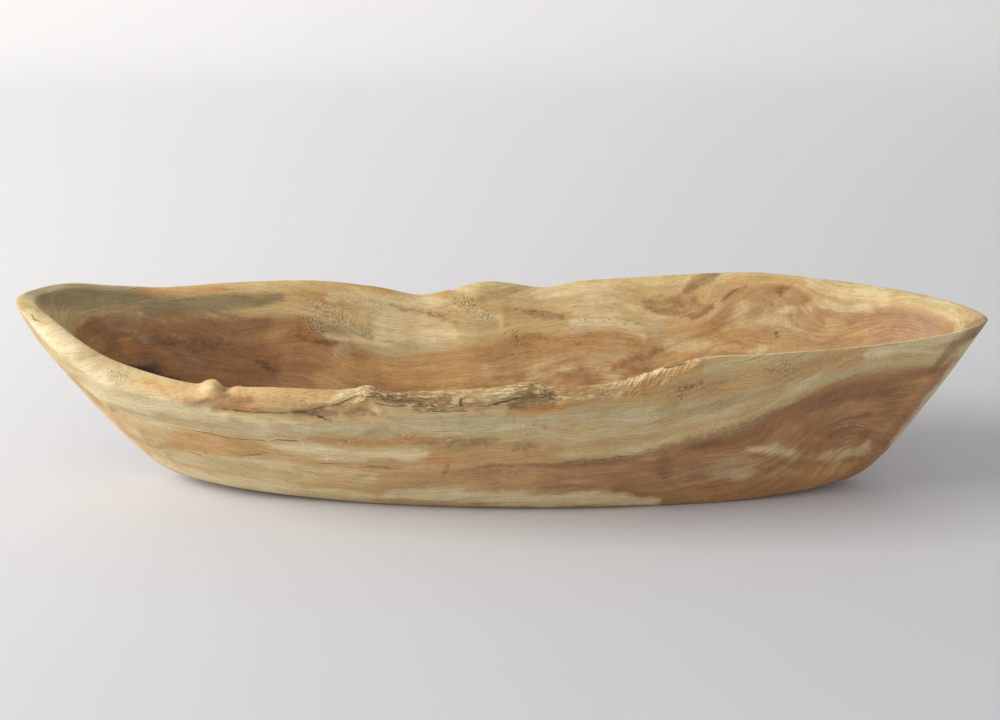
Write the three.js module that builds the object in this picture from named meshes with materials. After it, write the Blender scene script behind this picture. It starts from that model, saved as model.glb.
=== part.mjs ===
import * as THREE from "three";
import { mergeVertices } from "three/addons/utils/BufferGeometryUtils.js";

// Carved wooden bowl, dug out of one log and shaped like a small canoe.
// Millimetres, +Z up, +X along the bowl towards its sharper tip, the front wall faces -Y.
// The origin is on the resting face, under the middle of the bowl.

// Overall sizes
const LENGTH = 800;
const RIM_WIDTH = 236;
const RIM_HEIGHT = 150;

// Underside: how far the base reaches to each side of the middle, and how it lifts at its ends
const BASE_REACH_LEFT = 281;
const BASE_REACH_RIGHT = 301;
const BASE_WIDTH = 112;
const FLAT_REACH_LEFT = 90;
const FLAT_REACH_RIGHT = 190;
const BASE_LIFT_LEFT = 11;
const BASE_LIFT_RIGHT = 9;
const BASE_LIFT_POWER = 1.4;

// Hollow
const FLOOR_THICKNESS = 16;
const HOLLOW_FLOOR_LENGTH = 356;
const TIP_WALL_LEFT = 16;
const TIP_WALL_RIGHT = 18;

// Torn bark edge along the front rim, which leans in over its height
const BARK_EDGE_START = -215;
const BARK_EDGE_END = 165;
const BARK_EDGE_FADE = 30;
const BARK_EDGE_HEIGHT = 24;
const BARK_EDGE_DEPTH = 4;

// Share of the wall's spread that comes early, low on the wall, so that the belly is round
const BELLY = 0.45;

// Extra spread high on the wall near the left tip, and how far from the tip it reaches
const TIP_FULLNESS = 0.36;
const TIP_FULLNESS_REACH = 0.08;

// How pointed the plan is: 1 is an ellipse, more is sharper
const POINTEDNESS = 1.1;

// Inner wall, from the rim at 1 to the middle of the floor at 0: the two handles of its curve,
// the first as shares of half width and of depth, the second on the floor
const INNER_RIM_HANDLE = { spread: 0.8, height: 0.5 };
const INNER_FLOOR_HANDLE = { spread: 0.62, height: 0 };

// Rim line: [share of half length, height above RIM_HEIGHT]
const FRONT_RIM = [
  [-1, 11], [-0.94, 2], [-0.875, -10.2], [-0.8, -21.3], [-0.72, -27.5], [-0.62, -32],
  [-0.45, -29], [-0.1, -25.5], [0.03, -22], [0.2, -21.5], [0.27, -16.5], [0.34, -7],
  [0.4, -1], [0.5, -1], [0.7, -2], [0.93, -2], [1, -2],
];
const BACK_RIM = [
  [-1, 11], [-0.93, 11], [-0.85, 5.5], [-0.75, -1], [-0.6, -1.5], [-0.4, -4], [-0.3, -8.5],
  [-0.1, -9.5], [0.1, -10], [0.35, -2.2], [0.59, 4.5], [0.72, 3], [0.85, 1.5], [0.93, 0.5],
  [1, -2],
];

// Knots stand up on the front rim, and the back rim sags on both sides of its ridge:
// place as a share of half length, reach along the rim and depth down the wall
const FRONT_KNOTS = [
  { place: -0.56, rise: 5, reach: 9, depth: 9 },
  { place: -0.25, rise: 4, reach: 9, depth: 12 },
  { place: 0.057, rise: 3, reach: 12, depth: 10 },
];
const BACK_KNOTS = [
  { place: -0.17, rise: -10, reach: 32, depth: 45 },
  { place: -0.02, rise: 2, reach: 18, depth: 25 },
  { place: 0.095, rise: -4, reach: 22, depth: 45 },
];

// Fold down the inside of the back wall, under its ridge: it leans along X as it goes down
const FOLD_PLACE = -34;
const FOLD_LEAN = 38;
const FOLD_RISE = 4;
const FOLD_REACH = 20;

// Bends of the hull: [share of half length, sideways shift of the middle line]
const MIDDLE_LINE = [[-1, 12], [-0.8, 4], [-0.5, 0], [0.8, 0], [1, -3]];

// Fullness of each side: [share of half length, share of half width]
const FRONT_FULLNESS = [[-1, 1], [0, 1], [0.6, 0.97], [1, 0.9]];
const BACK_FULLNESS = [[-1, 1], [-0.6, 0.98], [0, 1], [0.6, 1.05], [1, 1.1]];
const BASE_FULLNESS = [[-1, 0.9], [-0.4, 0.86], [0.1, 0.98], [1, 1]];

// Wall thickness at the rim: [share of half length, thickness]
const FRONT_WALL = [[-1, 20], [-0.8, 22], [-0.6, 17], [-0.2, 13], [0.3, 12], [0.45, 9], [1, 9]];
const BACK_WALL = [[-1, 14], [-0.8, 12], [0, 11], [1, 9]];

// Rounding of the rim: [share of half length, height of its arch as a share of the wall]
const RIM_ROUNDING = [[-1, 0.1], [-0.85, 0.26], [-0.5, 0.3], [0.3, 0.32], [0.5, 0.2], [1, 0.2]];

// Fall of the rim towards the hollow: [share of half length, fall as a share of the wall].
// Below 0 the rim rolls outwards instead, with its crest at the inner edge.
const FRONT_FALL = [
  [-1, 0.1], [-0.92, -0.3], [-0.8, -0.5], [-0.5, -0.4], [-0.15, 0], [0.3, 0.2], [0.45, 0.6],
  [1, 0.6],
];
const BACK_FALL = [[-1, 0.1], [-0.8, 0.5], [1, 0.6]];

// Fineness of the surface
const STATIONS = 88;
const STATION_CROWDING = 0.75;
const OUTER_ROWS = 9;
const RIM_ROWS = 5;
const INNER_ROWS = 8;

const FRONT = -1;
const BACK = 1;
const HALF_LENGTH = LENGTH / 2;
const HALF_WIDTH = RIM_WIDTH / 2;

// Smooth curve through points [at, value], with no corner at a point
function curveThrough(points, at) {
  const last = points.length - 1;
  const slopes = [];
  for (let i = 0; i < last; i += 1) {
    slopes.push((points[i + 1][1] - points[i][1]) / (points[i + 1][0] - points[i][0]));
  }
  const tangent = (i) => {
    if (i === 0) return slopes[0];
    if (i === last) return slopes[last - 1];
    const before = points[i][0] - points[i - 1][0];
    const after = points[i + 1][0] - points[i][0];
    return (slopes[i - 1] * after + slopes[i] * before) / (before + after);
  };
  let span = 0;
  while (span < last - 1 && at > points[span + 1][0]) span += 1;
  const [start, low] = points[span];
  const [end, high] = points[span + 1];
  const step = end - start;
  const t = (at - start) / step;
  const rest = 1 - t;
  const bend = t * rest * step;
  return low * (1 + 2 * t) * rest * rest + high * t * t * (3 - 2 * t)
    + bend * (tangent(span) * rest - tangent(span + 1) * t);
}

function bump(distance, reach) {
  return Math.exp(-((distance / reach) ** 2));
}

function fadeIn(value, start, length) {
  return THREE.MathUtils.smoothstep(value, start, start + length);
}

// Plan of the hull: 1 in the middle of the length and 0 at both tips
function planShare(share) {
  return Math.max(0, 1 - share * share) ** (POINTEDNESS / 2);
}

function middleLine(share) {
  return curveThrough(MIDDLE_LINE, share);
}

function halfWidth(share, side) {
  return HALF_WIDTH * curveThrough(side === FRONT ? FRONT_FULLNESS : BACK_FULLNESS, share);
}

function wallThickness(share, side) {
  return curveThrough(side === FRONT ? FRONT_WALL : BACK_WALL, share);
}

function rimArch(share, side) {
  return wallThickness(share, side) * curveThrough(RIM_ROUNDING, share);
}

function rimFall(share, side) {
  return wallThickness(share, side) * curveThrough(side === FRONT ? FRONT_FALL : BACK_FALL, share);
}

// Height where the outer wall meets the rounding of the rim, whose crest is the rim line
function shoulderHeight(share, side) {
  const crest = RIM_HEIGHT + curveThrough(side === FRONT ? FRONT_RIM : BACK_RIM, share);
  const halfFall = rimFall(share, side) / 2;
  return crest + halfFall - Math.hypot(halfFall, rimArch(share, side));
}

// Lifts a point of the wall or the rim where a knot stands up, or lets it sag
function withKnots(point, share, side) {
  const drop = Math.max(0, shoulderHeight(share, side) - point.z);
  for (const knot of side === FRONT ? FRONT_KNOTS : BACK_KNOTS) {
    const along = bump(point.x - knot.place * HALF_LENGTH, knot.reach);
    point.z += knot.rise * along * bump(drop, knot.depth);
  }
  return point;
}

function baseLift(x) {
  const left = Math.max(0, -x - FLAT_REACH_LEFT) / (BASE_REACH_LEFT - FLAT_REACH_LEFT);
  const right = Math.max(0, x - FLAT_REACH_RIGHT) / (BASE_REACH_RIGHT - FLAT_REACH_RIGHT);
  return BASE_LIFT_LEFT * left ** BASE_LIFT_POWER + BASE_LIFT_RIGHT * right ** BASE_LIFT_POWER;
}

function basePlace(share) {
  return share * (share < 0 ? BASE_REACH_LEFT : BASE_REACH_RIGHT);
}

function keelPoint(share) {
  const x = basePlace(share);
  return new THREE.Vector3(x, middleLine(share) / 2, baseLift(x));
}

function baseEdge(share, side) {
  const point = keelPoint(share);
  point.y += side * (BASE_WIDTH / 2) * curveThrough(BASE_FULLNESS, share) * planShare(share);
  return point;
}

function outerShoulder(share, side) {
  const y = middleLine(share) + side * halfWidth(share, side) * planShare(share);
  return new THREE.Vector3(share * HALF_LENGTH, y, shoulderHeight(share, side));
}

function innerShoulder(share, side) {
  const left = -HALF_LENGTH + TIP_WALL_LEFT;
  const right = HALF_LENGTH - TIP_WALL_RIGHT;
  const x = THREE.MathUtils.lerp(left, right, (share + 1) / 2);
  const reach = halfWidth(share, side) - wallThickness(share, side);
  const y = middleLine(share) + side * reach * planShare(share);
  return new THREE.Vector3(x, y, shoulderHeight(share, side) - rimFall(share, side));
}

// Moves from one point to another, sideways by one share and upwards by another
function between(from, to, spread, height) {
  const point = from.clone().lerp(to, spread);
  point.z = THREE.MathUtils.lerp(from.z, to.z, height);
  return point;
}

// How far the torn bark edge leans in at this place on the front wall
function barkEdge(point, share, side) {
  if (side !== FRONT) return 0;
  const along = fadeIn(point.x, BARK_EDGE_START, BARK_EDGE_FADE)
    * (1 - fadeIn(point.x, BARK_EDGE_END - BARK_EDGE_FADE, BARK_EDGE_FADE));
  const drop = shoulderHeight(share, side) - point.z;
  return BARK_EDGE_DEPTH * along * (1 - Math.min(1, drop / BARK_EDGE_HEIGHT));
}

// Outer wall, t runs from the base edge at 0 to the shoulder of the rim at 1
function outerWall(share, side, t) {
  const height = t ** 1.5;
  const early = BELLY * Math.sqrt(height) + (1 - BELLY) * height;
  const nearTip = TIP_FULLNESS * bump(share + 1, TIP_FULLNESS_REACH);
  const spread = early + nearTip * height ** 3 * (1 - height);
  const point = between(baseEdge(share, side), outerShoulder(share, side), spread, height);
  point.y -= side * barkEdge(point, share, side) * planShare(share);
  return point;
}

// Rounded top of the wall, t runs from the outer shoulder at 0 to the inner one at 1
function rimTop(share, side, t) {
  const turn = t * Math.PI;
  const across = (1 - Math.cos(turn)) / 2;
  const outer = outerWall(share, side, 1);
  const point = between(outer, innerShoulder(share, side), across, across);
  point.z += Math.sin(turn) * rimArch(share, side);
  return point;
}

function floorPoint(share) {
  const x = share * HOLLOW_FLOOR_LENGTH / 2;
  return new THREE.Vector3(x, middleLine(share) / 2, FLOOR_THICKNESS + baseLift(x));
}

// Inner wall, t runs from the shoulder of the rim at 0 to the middle of the floor at 1
function innerWall(share, side, t) {
  const rest = 1 - t;
  const atRim = rest ** 3;
  const atRimHandle = 3 * t * rest * rest;
  const atFloorHandle = 3 * t * t * rest;
  const blend = (key) => atRim + atRimHandle * INNER_RIM_HANDLE[key]
    + atFloorHandle * INNER_FLOOR_HANDLE[key];
  const point = between(
    floorPoint(share), innerShoulder(share, side), blend("spread"), blend("height"));
  if (side === BACK) {
    const foldLine = FOLD_PLACE + FOLD_LEAN * t;
    point.y -= FOLD_RISE * Math.sin(Math.PI * t) * bump(point.x - foldLine, FOLD_REACH);
  }
  return point;
}

// Stations along the bowl as shares of its half length, closer together towards the tips
function stationShares() {
  const shares = [];
  for (let i = 0; i <= STATIONS; i += 1) {
    const even = (2 * i) / STATIONS - 1;
    const crowded = -Math.cos((Math.PI * i) / STATIONS);
    shares.push(THREE.MathUtils.lerp(even, crowded, STATION_CROWDING));
  }
  return shares;
}

// The keel ends on the base edge, where the first triangles of a row have no area
function withoutEmptyTriangles(geometry) {
  const corners = geometry.index.array;
  const kept = [];
  for (let i = 0; i < corners.length; i += 3) {
    const [a, b, c] = corners.slice(i, i + 3);
    if (a !== b && b !== c && c !== a) kept.push(a, b, c);
  }
  geometry.setIndex(kept);
  return geometry;
}

// One closed skin: keel, base edge, outer wall, rim, inner wall and the middle of the floor.
// A loop runs along the front from the left tip to the right one, and returns along the back.
function bowlGeometry() {
  const shares = stationShares();
  const loopLength = 2 * STATIONS;
  const positions = [];
  const rows = [];

  const addPoint = (point) => {
    positions.push(point.x, point.y, point.z);
    return positions.length / 3 - 1;
  };
  const addLoop = (pointAt) => {
    const row = [];
    for (let j = 0; j < loopLength; j += 1) {
      const onFront = j <= STATIONS;
      const station = onFront ? j : loopLength - j;
      const side = onFront ? FRONT : BACK;
      row.push(addPoint(withKnots(pointAt(shares[station], side), shares[station], side)));
    }
    rows.push(row);
  };
  // A line is shared by both sides of the loop
  const addLine = (pointAt) => {
    const line = shares.map((share) => addPoint(pointAt(share)));
    const row = [];
    for (let j = 0; j < loopLength; j += 1) {
      row.push(line[j <= STATIONS ? j : loopLength - j]);
    }
    rows.push(row);
  };

  addLine(keelPoint);
  for (let i = 0; i <= OUTER_ROWS; i += 1) {
    addLoop((share, side) => outerWall(share, side, i / OUTER_ROWS));
  }
  for (let i = 1; i < RIM_ROWS; i += 1) {
    addLoop((share, side) => rimTop(share, side, i / RIM_ROWS));
  }
  for (let i = 0; i < INNER_ROWS; i += 1) {
    addLoop((share, side) => innerWall(share, side, i / INNER_ROWS));
  }
  addLine(floorPoint);

  const indices = [];
  for (let i = 0; i < rows.length - 1; i += 1) {
    const lower = rows[i];
    const upper = rows[i + 1];
    for (let j = 0; j < loopLength; j += 1) {
      const next = (j + 1) % loopLength;
      indices.push(lower[j], lower[next], upper[next]);
      indices.push(lower[j], upper[next], upper[j]);
    }
  }

  const skin = new THREE.BufferGeometry();
  skin.setAttribute("position", new THREE.Float32BufferAttribute(positions, 3));
  skin.setIndex(indices);
  const geometry = withoutEmptyTriangles(mergeVertices(skin));

  // The bends of the hull move it off centre, so its box is centred again
  geometry.computeBoundingBox();
  const centre = geometry.boundingBox.getCenter(new THREE.Vector3());
  geometry.translate(-centre.x, -centre.y, -geometry.boundingBox.min.z);
  geometry.computeVertexNormals();
  return geometry;
}

const carvedWood = new THREE.MeshStandardMaterial({ color: 0xb8905f, roughness: 0.62, metalness: 0 });

const bowl = new THREE.Mesh(bowlGeometry(), carvedWood);
bowl.name = "bowl";

const fruitBowl = new THREE.Group();
fruitBowl.add(bowl);

export default fruitBowl;
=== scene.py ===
import math

import bmesh
import bpy
import numpy as np
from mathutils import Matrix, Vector


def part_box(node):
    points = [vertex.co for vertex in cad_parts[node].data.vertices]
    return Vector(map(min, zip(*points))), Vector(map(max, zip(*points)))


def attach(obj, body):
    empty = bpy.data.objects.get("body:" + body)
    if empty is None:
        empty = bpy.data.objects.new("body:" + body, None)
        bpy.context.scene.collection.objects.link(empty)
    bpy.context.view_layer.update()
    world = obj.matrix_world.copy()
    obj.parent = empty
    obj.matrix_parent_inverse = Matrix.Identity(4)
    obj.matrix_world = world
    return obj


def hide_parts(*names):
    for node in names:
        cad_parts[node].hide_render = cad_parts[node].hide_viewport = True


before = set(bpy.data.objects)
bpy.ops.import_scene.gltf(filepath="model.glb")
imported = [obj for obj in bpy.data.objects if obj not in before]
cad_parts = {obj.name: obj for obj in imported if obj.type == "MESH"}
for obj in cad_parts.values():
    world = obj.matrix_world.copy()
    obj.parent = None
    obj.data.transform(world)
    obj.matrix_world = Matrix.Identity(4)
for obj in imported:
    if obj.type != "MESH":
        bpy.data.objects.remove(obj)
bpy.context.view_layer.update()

# The bowl is worked out in millimetres and turned into metres at the end
MM = 0.001
box_low, box_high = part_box("bowl")
LENGTH = (box_high[0] - box_low[0]) / MM
HEIGHT = (box_high[2] - box_low[2]) / MM

# The hull, as the carver cut it
HALF_WIDTH = 118
BASE_REACH_LEFT = 281
BASE_REACH_RIGHT = 301
BASE_WIDTH = 112
FLAT_REACH_LEFT = 90
FLAT_REACH_RIGHT = 190
BASE_LIFT_LEFT = 11
BASE_LIFT_RIGHT = 9
BASE_LIFT_POWER = 1.4
FLOOR_THICKNESS = 16
HOLLOW_FLOOR_LENGTH = 356
TIP_WALL_LEFT = 16
TIP_WALL_RIGHT = 18
BELLY = 0.45
TIP_FULLNESS = 0.36
TIP_FULLNESS_REACH = 0.08
POINTEDNESS = 1.1
INNER_RIM_HANDLE = (0.8, 0.5)
INNER_FLOOR_HANDLE = (0.62, 0)

# Curves along the bowl: [share of half length, value]
FRONT_RIM = [
    [-1, 11], [-0.94, 2], [-0.875, -10.2], [-0.8, -21.3], [-0.72, -27.5], [-0.62, -32], [-0.45, -29],
    [-0.1, -25.5], [0.03, -22], [0.2, -21.5], [0.27, -16.5], [0.34, -7], [0.4, -1], [0.5, -1],
    [0.7, -2], [0.93, -2], [1, -2],
]
BACK_RIM = [
    [-1, 11], [-0.93, 11], [-0.85, 5.5], [-0.75, -1], [-0.6, -1.5], [-0.4, -4], [-0.3, -8.5],
    [-0.1, -9.5], [0.1, -10], [0.35, -2.2], [0.59, 4.5], [0.72, 3], [0.85, 1.5], [0.93, 0.5], [1, -2],
]

# Knots that stand up on the rim, and sags in it: place, rise, reach along and depth down the wall
FRONT_RIM_KNOTS = [(-224, 5, 9, 9), (-100, 4, 9, 12), (23, 3, 12, 10)]
BACK_RIM_KNOTS = [(-68, -10, 32, 45), (-8, 2, 18, 25), (38, -4, 22, 45)]

MIDDLE_LINE = [[-1, 12], [-0.8, 4], [-0.5, 0], [0.8, 0], [1, -3]]
FRONT_FULLNESS = [[-1, 1], [0, 1], [0.6, 0.97], [1, 0.9]]
BACK_FULLNESS = [[-1, 1], [-0.6, 0.98], [0, 1], [0.6, 1.05], [1, 1.1]]
BASE_FULLNESS = [[-1, 0.9], [-0.4, 0.86], [0.1, 0.98], [1, 1]]
FRONT_WALL = [[-1, 20], [-0.8, 22], [-0.6, 17], [-0.2, 13], [0.3, 12], [0.45, 9], [1, 9]]
BACK_WALL = [[-1, 14], [-0.8, 12], [0, 11], [1, 9]]
RIM_ROUNDING = [[-1, 0.1], [-0.85, 0.26], [-0.5, 0.3], [0.3, 0.32], [0.5, 0.2], [1, 0.2]]

# Fall of the rim towards the hollow, as a share of the wall; below 0 it rolls outwards
FRONT_FALL = [
    [-1, 0.1], [-0.92, -0.3], [-0.8, -0.5], [-0.5, -0.4], [-0.15, 0], [0.3, 0.2], [0.45, 0.6], [1, 0.6],
]
BACK_FALL = [[-1, 0.1], [-0.8, 0.5], [1, 0.6]]

# Fold down the inside of the back wall
FOLD_PLACE = -34
FOLD_LEAN = 38
FOLD_RISE = 4
FOLD_REACH = 20

# Torn bark edge on the front: it starts at a ragged line below the rim, [x, height]
BARK_EDGE_START = -215
BARK_EDGE_END = 165
BARK_EDGE_FADE = 30
BARK_EDGE_DEPTH = 4
BARK_EDGE_LINE = [
    [-215, 100], [-150, 103], [-115, 111], [-98, 119], [-60, 107], [-20, 110], [20, 113],
    [60, 118], [115, 121], [135, 134], [165, 148],
]

# How torn the edge is along the bowl, and where the tear runs as slanting ridges
TORN_ALONG = [
    [-215, 0], [-190, 0.1], [-150, 0.25], [-118, 0.4], [-95, 0.9], [-60, 0.9], [-35, 0.7],
    [-12, 0.5], [12, 0.9], [40, 0.8], [60, 0.5], [85, 0.7], [110, 1], [150, 0.9], [165, 0],
]
SLANTED_START = 78
SLANTED_END = 158
SLANTED_FADE = 14

# Fineness of the fine mesh
STATIONS = 400
STATION_CROWDING = 0.75
BASE_ROWS = 6
OUTER_ROWS = 52
RIM_ROWS = 14
INNER_ROWS = 50
OUTER_ROW_POWER = 1.5
OUTER_ROW_SPREAD = 1.6
INNER_ROW_SPREAD = 0.7
RIM_SAMPLES = 801
MERGE_DISTANCE = 0.00002

FRONT, BACK = -1, 1
UNDERSIDE, OUTSIDE, RIM, INSIDE = 0, 1, 2, 3
HALF_LENGTH = LENGTH / 2


def curve_through(points, at):
    """Smooth curve through points [at, value], with no corner at a point."""
    places, values = np.array(points, float).T
    steps = np.diff(places)
    slopes = np.diff(values) / steps
    inner = (slopes[:-1] * steps[1:] + slopes[1:] * steps[:-1]) / (steps[:-1] + steps[1:])
    tangents = np.concatenate([slopes[:1], inner, slopes[-1:]])
    at = np.clip(at, places[0], places[-1])
    span = np.clip(np.searchsorted(places, at, side="right") - 1, 0, len(steps) - 1)
    step = steps[span]
    t = (at - places[span]) / step
    rest = 1 - t
    value = values[span] * (1 + 2 * t) * rest * rest
    value += values[span + 1] * t * t * (3 - 2 * t)
    return value + t * rest * step * (tangents[span] * rest - tangents[span + 1] * t)


def smooth_step(value, start, length):
    t = np.clip((value - start) / length, 0, 1)
    return t * t * (3 - 2 * t)


def bump(distance, reach):
    return np.exp(-(distance / reach) ** 2)


def by_side(side, front, back):
    return np.where(side == FRONT, front, back)


# The rim's own height comes from the frame: its highest place touches the top of the box
rims = [curve_through(rim, np.linspace(-1, 1, RIM_SAMPLES)) for rim in (FRONT_RIM, BACK_RIM)]
RIM_HEIGHT = HEIGHT - np.max(rims)


def plan_share(share):
    return np.clip(1 - share * share, 0, None) ** (POINTEDNESS / 2)


def middle_line(share):
    return curve_through(MIDDLE_LINE, share)


def half_width(share, side):
    front = curve_through(FRONT_FULLNESS, share)
    back = curve_through(BACK_FULLNESS, share)
    return HALF_WIDTH * by_side(side, front, back)


def wall_thickness(share, side):
    return by_side(side, curve_through(FRONT_WALL, share), curve_through(BACK_WALL, share))


def rim_arch(share, side):
    return wall_thickness(share, side) * curve_through(RIM_ROUNDING, share)


def rim_fall(share, side):
    fall = by_side(side, curve_through(FRONT_FALL, share), curve_through(BACK_FALL, share))
    return wall_thickness(share, side) * fall


def shoulder_height(share, side):
    """Where the outer wall meets the rounding of the rim, whose crest is the rim line."""
    crest = by_side(side, curve_through(FRONT_RIM, share), curve_through(BACK_RIM, share))
    half_fall = rim_fall(share, side) / 2
    return RIM_HEIGHT + crest + half_fall - np.hypot(half_fall, rim_arch(share, side))


def raise_knots(place, share, side):
    """Lifts the wall and the rim where a knot stands up, and lets it sag elsewhere."""
    drop = np.clip(shoulder_height(share, side) - place[:, 2], 0, None)
    lift = np.zeros(len(place))
    for wall, knots in ((FRONT, FRONT_RIM_KNOTS), (BACK, BACK_RIM_KNOTS)):
        for x, rise, reach, depth in knots:
            lift += rise * bump(place[:, 0] - x, reach) * bump(drop, depth) * (side == wall)
    place[:, 2] += lift


def base_lift(x):
    left = np.clip(-x - FLAT_REACH_LEFT, 0, None) / (BASE_REACH_LEFT - FLAT_REACH_LEFT)
    right = np.clip(x - FLAT_REACH_RIGHT, 0, None) / (BASE_REACH_RIGHT - FLAT_REACH_RIGHT)
    return BASE_LIFT_LEFT * left ** BASE_LIFT_POWER + BASE_LIFT_RIGHT * right ** BASE_LIFT_POWER


def points(x, y, z):
    return np.stack(np.broadcast_arrays(x, y, z), axis=-1).astype(float)


def keel_points(share):
    x = share * np.where(share < 0, BASE_REACH_LEFT, BASE_REACH_RIGHT)
    return points(x, middle_line(share) / 2, base_lift(x))


def base_edge(share, side):
    edge = keel_points(share)
    reach = BASE_WIDTH / 2 * curve_through(BASE_FULLNESS, share) * plan_share(share)
    edge[:, 1] += side * reach
    return edge


def outer_shoulder(share, side):
    y = middle_line(share) + side * half_width(share, side) * plan_share(share)
    return points(share * HALF_LENGTH, y, shoulder_height(share, side))


def inner_shoulder(share, side):
    left = -HALF_LENGTH + TIP_WALL_LEFT
    right = HALF_LENGTH - TIP_WALL_RIGHT
    x = left + (right - left) * (share + 1) / 2
    reach = half_width(share, side) - wall_thickness(share, side)
    y = middle_line(share) + side * reach * plan_share(share)
    return points(x, y, shoulder_height(share, side) - rim_fall(share, side))


def between(start, end, spread, height):
    """From start towards end, sideways by one share and upwards by another."""
    place = start + (end - start) * spread
    place[:, 2] = start[:, 2] + (end[:, 2] - start[:, 2]) * height
    return place


def within(value, start, end, fade):
    """1 between start and end, 0 outside them."""
    return smooth_step(value, start, fade) * (1 - smooth_step(value, end - fade, fade))


def bark_edge_lean(place, share, side):
    line = curve_through(BARK_EDGE_LINE, place[:, 0])
    top = shoulder_height(share, side)
    lean = np.clip((place[:, 2] - line) / np.maximum(top - line, 1), 0, 1)
    along = within(place[:, 0], BARK_EDGE_START, BARK_EDGE_END, BARK_EDGE_FADE)
    return BARK_EDGE_DEPTH * along * lean * (side == FRONT)


def outer_wall(share, side, t):
    height = t ** OUTER_ROW_POWER
    early = BELLY * math.sqrt(height) + (1 - BELLY) * height
    near_tip = TIP_FULLNESS * bump(share + 1, TIP_FULLNESS_REACH)
    spread = early + near_tip * height ** 3 * (1 - height)
    place = between(base_edge(share, side), outer_shoulder(share, side), spread[:, None], height)
    place[:, 1] -= side * bark_edge_lean(place, share, side) * plan_share(share)
    return place


def rim_top(share, side, t):
    turn = t * math.pi
    across = (1 - math.cos(turn)) / 2
    place = between(outer_wall(share, side, 1), inner_shoulder(share, side), across, across)
    place[:, 2] += math.sin(turn) * rim_arch(share, side)
    return place


def floor_points(share):
    x = share * HOLLOW_FLOOR_LENGTH / 2
    return points(x, middle_line(share) / 2, FLOOR_THICKNESS + base_lift(x))


def inner_wall(share, side, t):
    rest = 1 - t
    handles = np.array([INNER_RIM_HANDLE, INNER_FLOOR_HANDLE])
    spread, height = rest ** 3 + 3 * t * rest * (rest * handles[0] + t * handles[1])
    place = between(floor_points(share), inner_shoulder(share, side), spread, height)
    fold_line = FOLD_PLACE + FOLD_LEAN * t
    fold = FOLD_RISE * math.sin(math.pi * t) * bump(place[:, 0] - fold_line, FOLD_REACH)
    place[:, 1] -= fold * (side == BACK)
    return place


def spaced(even, spread):
    """Place of a row from 0 to 1: rows are closer at the end if spread is above 1, else at the start."""
    return even * (spread + (1 - spread) * even)


class Skin:
    """The bowl's one closed skin, built row by row from the keel over the rim to the floor."""

    def __init__(self):
        even = np.linspace(-1, 1, STATIONS + 1)
        crowded = -np.cos(np.linspace(0, math.pi, STATIONS + 1))
        self.line_share = even + (crowded - even) * STATION_CROWDING
        loop = np.arange(2 * STATIONS)
        self.station = np.where(loop <= STATIONS, loop, 2 * STATIONS - loop)
        self.loop_share = self.line_share[self.station]
        self.loop_side = np.where(loop <= STATIONS, FRONT, BACK)
        self.places = []
        self.skins = []
        self.shares = []
        self.sides = []
        self.rows = []
        self.count = 0

    def add(self, places, skin, share, side):
        first = self.count
        self.places.append(places)
        self.skins.append(np.full(len(places), skin))
        self.shares.append(share)
        self.sides.append(side)
        self.count += len(places)
        return first

    def add_loop(self, places, skin):
        raise_knots(places, self.loop_share, self.loop_side)
        first = self.add(places, skin, self.loop_share, self.loop_side)
        self.rows.append(first + np.arange(2 * STATIONS))

    def add_line(self, places, skin):
        first = self.add(places, skin, self.line_share, np.full(STATIONS + 1, FRONT))
        self.rows.append(first + self.station)

    def build(self):
        share, side = self.loop_share, self.loop_side
        self.add_line(keel_points(self.line_share), UNDERSIDE)
        keel, edge = keel_points(share), base_edge(share, side)
        for t in np.linspace(0, 1, BASE_ROWS + 1)[1:-1]:
            self.add_loop(keel + (edge - keel) * t, UNDERSIDE)
        for even in np.linspace(0, 1, OUTER_ROWS + 1):
            self.add_loop(outer_wall(share, side, spaced(even, OUTER_ROW_SPREAD)), OUTSIDE)
        for t in np.linspace(0, 1, RIM_ROWS + 1)[1:-1]:
            self.add_loop(rim_top(share, side, t), RIM)
        for even in np.linspace(0, 1, INNER_ROWS + 1)[:-1]:
            self.add_loop(inner_wall(share, side, spaced(even, INNER_ROW_SPREAD)), INSIDE)
        self.add_line(floor_points(self.line_share), INSIDE)
        self.place = np.concatenate(self.places)
        self.skin = np.concatenate(self.skins)
        self.share = np.concatenate(self.shares)
        self.side = np.concatenate(self.sides)
        self.centre()

    def centre(self):
        """The bends of the hull move it off centre, so its box is centred again."""
        low, high = self.place.min(axis=0), self.place.max(axis=0)
        self.place[:, :2] -= (low[:2] + high[:2]) / 2
        self.place[:, 2] -= low[2]

    def quads(self):
        lower = np.stack(self.rows[:-1])
        upper = np.stack(self.rows[1:])
        corners = [lower, np.roll(lower, -1, axis=1), np.roll(upper, -1, axis=1), upper]
        return np.stack(corners, axis=-1).reshape(-1, 4)


# Figure of the wood. Growth rings lie round the log's heart line, which runs under the bowl;
# a point's ring is 0 where brown heartwood meets pale sapwood, and grows inwards.
HEART_LINE_HEIGHT = -20

# Radius of the heartwood along each wall, [x, radius]
FRONT_HEARTWOOD = [
    [-400, 66], [-326, 84], [-252, 98], [-189, 101], [-86, 109], [-16, 117], [48, 116], [79, 119],
    [123, 120], [158, 124], [190, 127], [237, 144], [275, 160], [327, 153], [355, 144], [400, 136],
]
BACK_HEARTWOOD = [
    [-400, 160], [-340, 158], [-280, 161], [-195, 162], [-165, 151], [-130, 138], [-44, 136],
    [53, 148], [100, 150], [145, 150], [170, 165], [193, 180], [240, 172], [300, 152], [350, 153],
    [400, 153],
]

# How brown the heartwood is along each wall, [x, share]
FRONT_BROWN = [[-400, 0.1], [-120, 0.15], [-40, 0.45], [60, 0.8], [140, 0.95], [400, 1]]
BACK_BROWN = [[-400, 1], [50, 0.9], [150, 0.75], [250, 0.6], [330, 0.8], [400, 0.8]]

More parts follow.
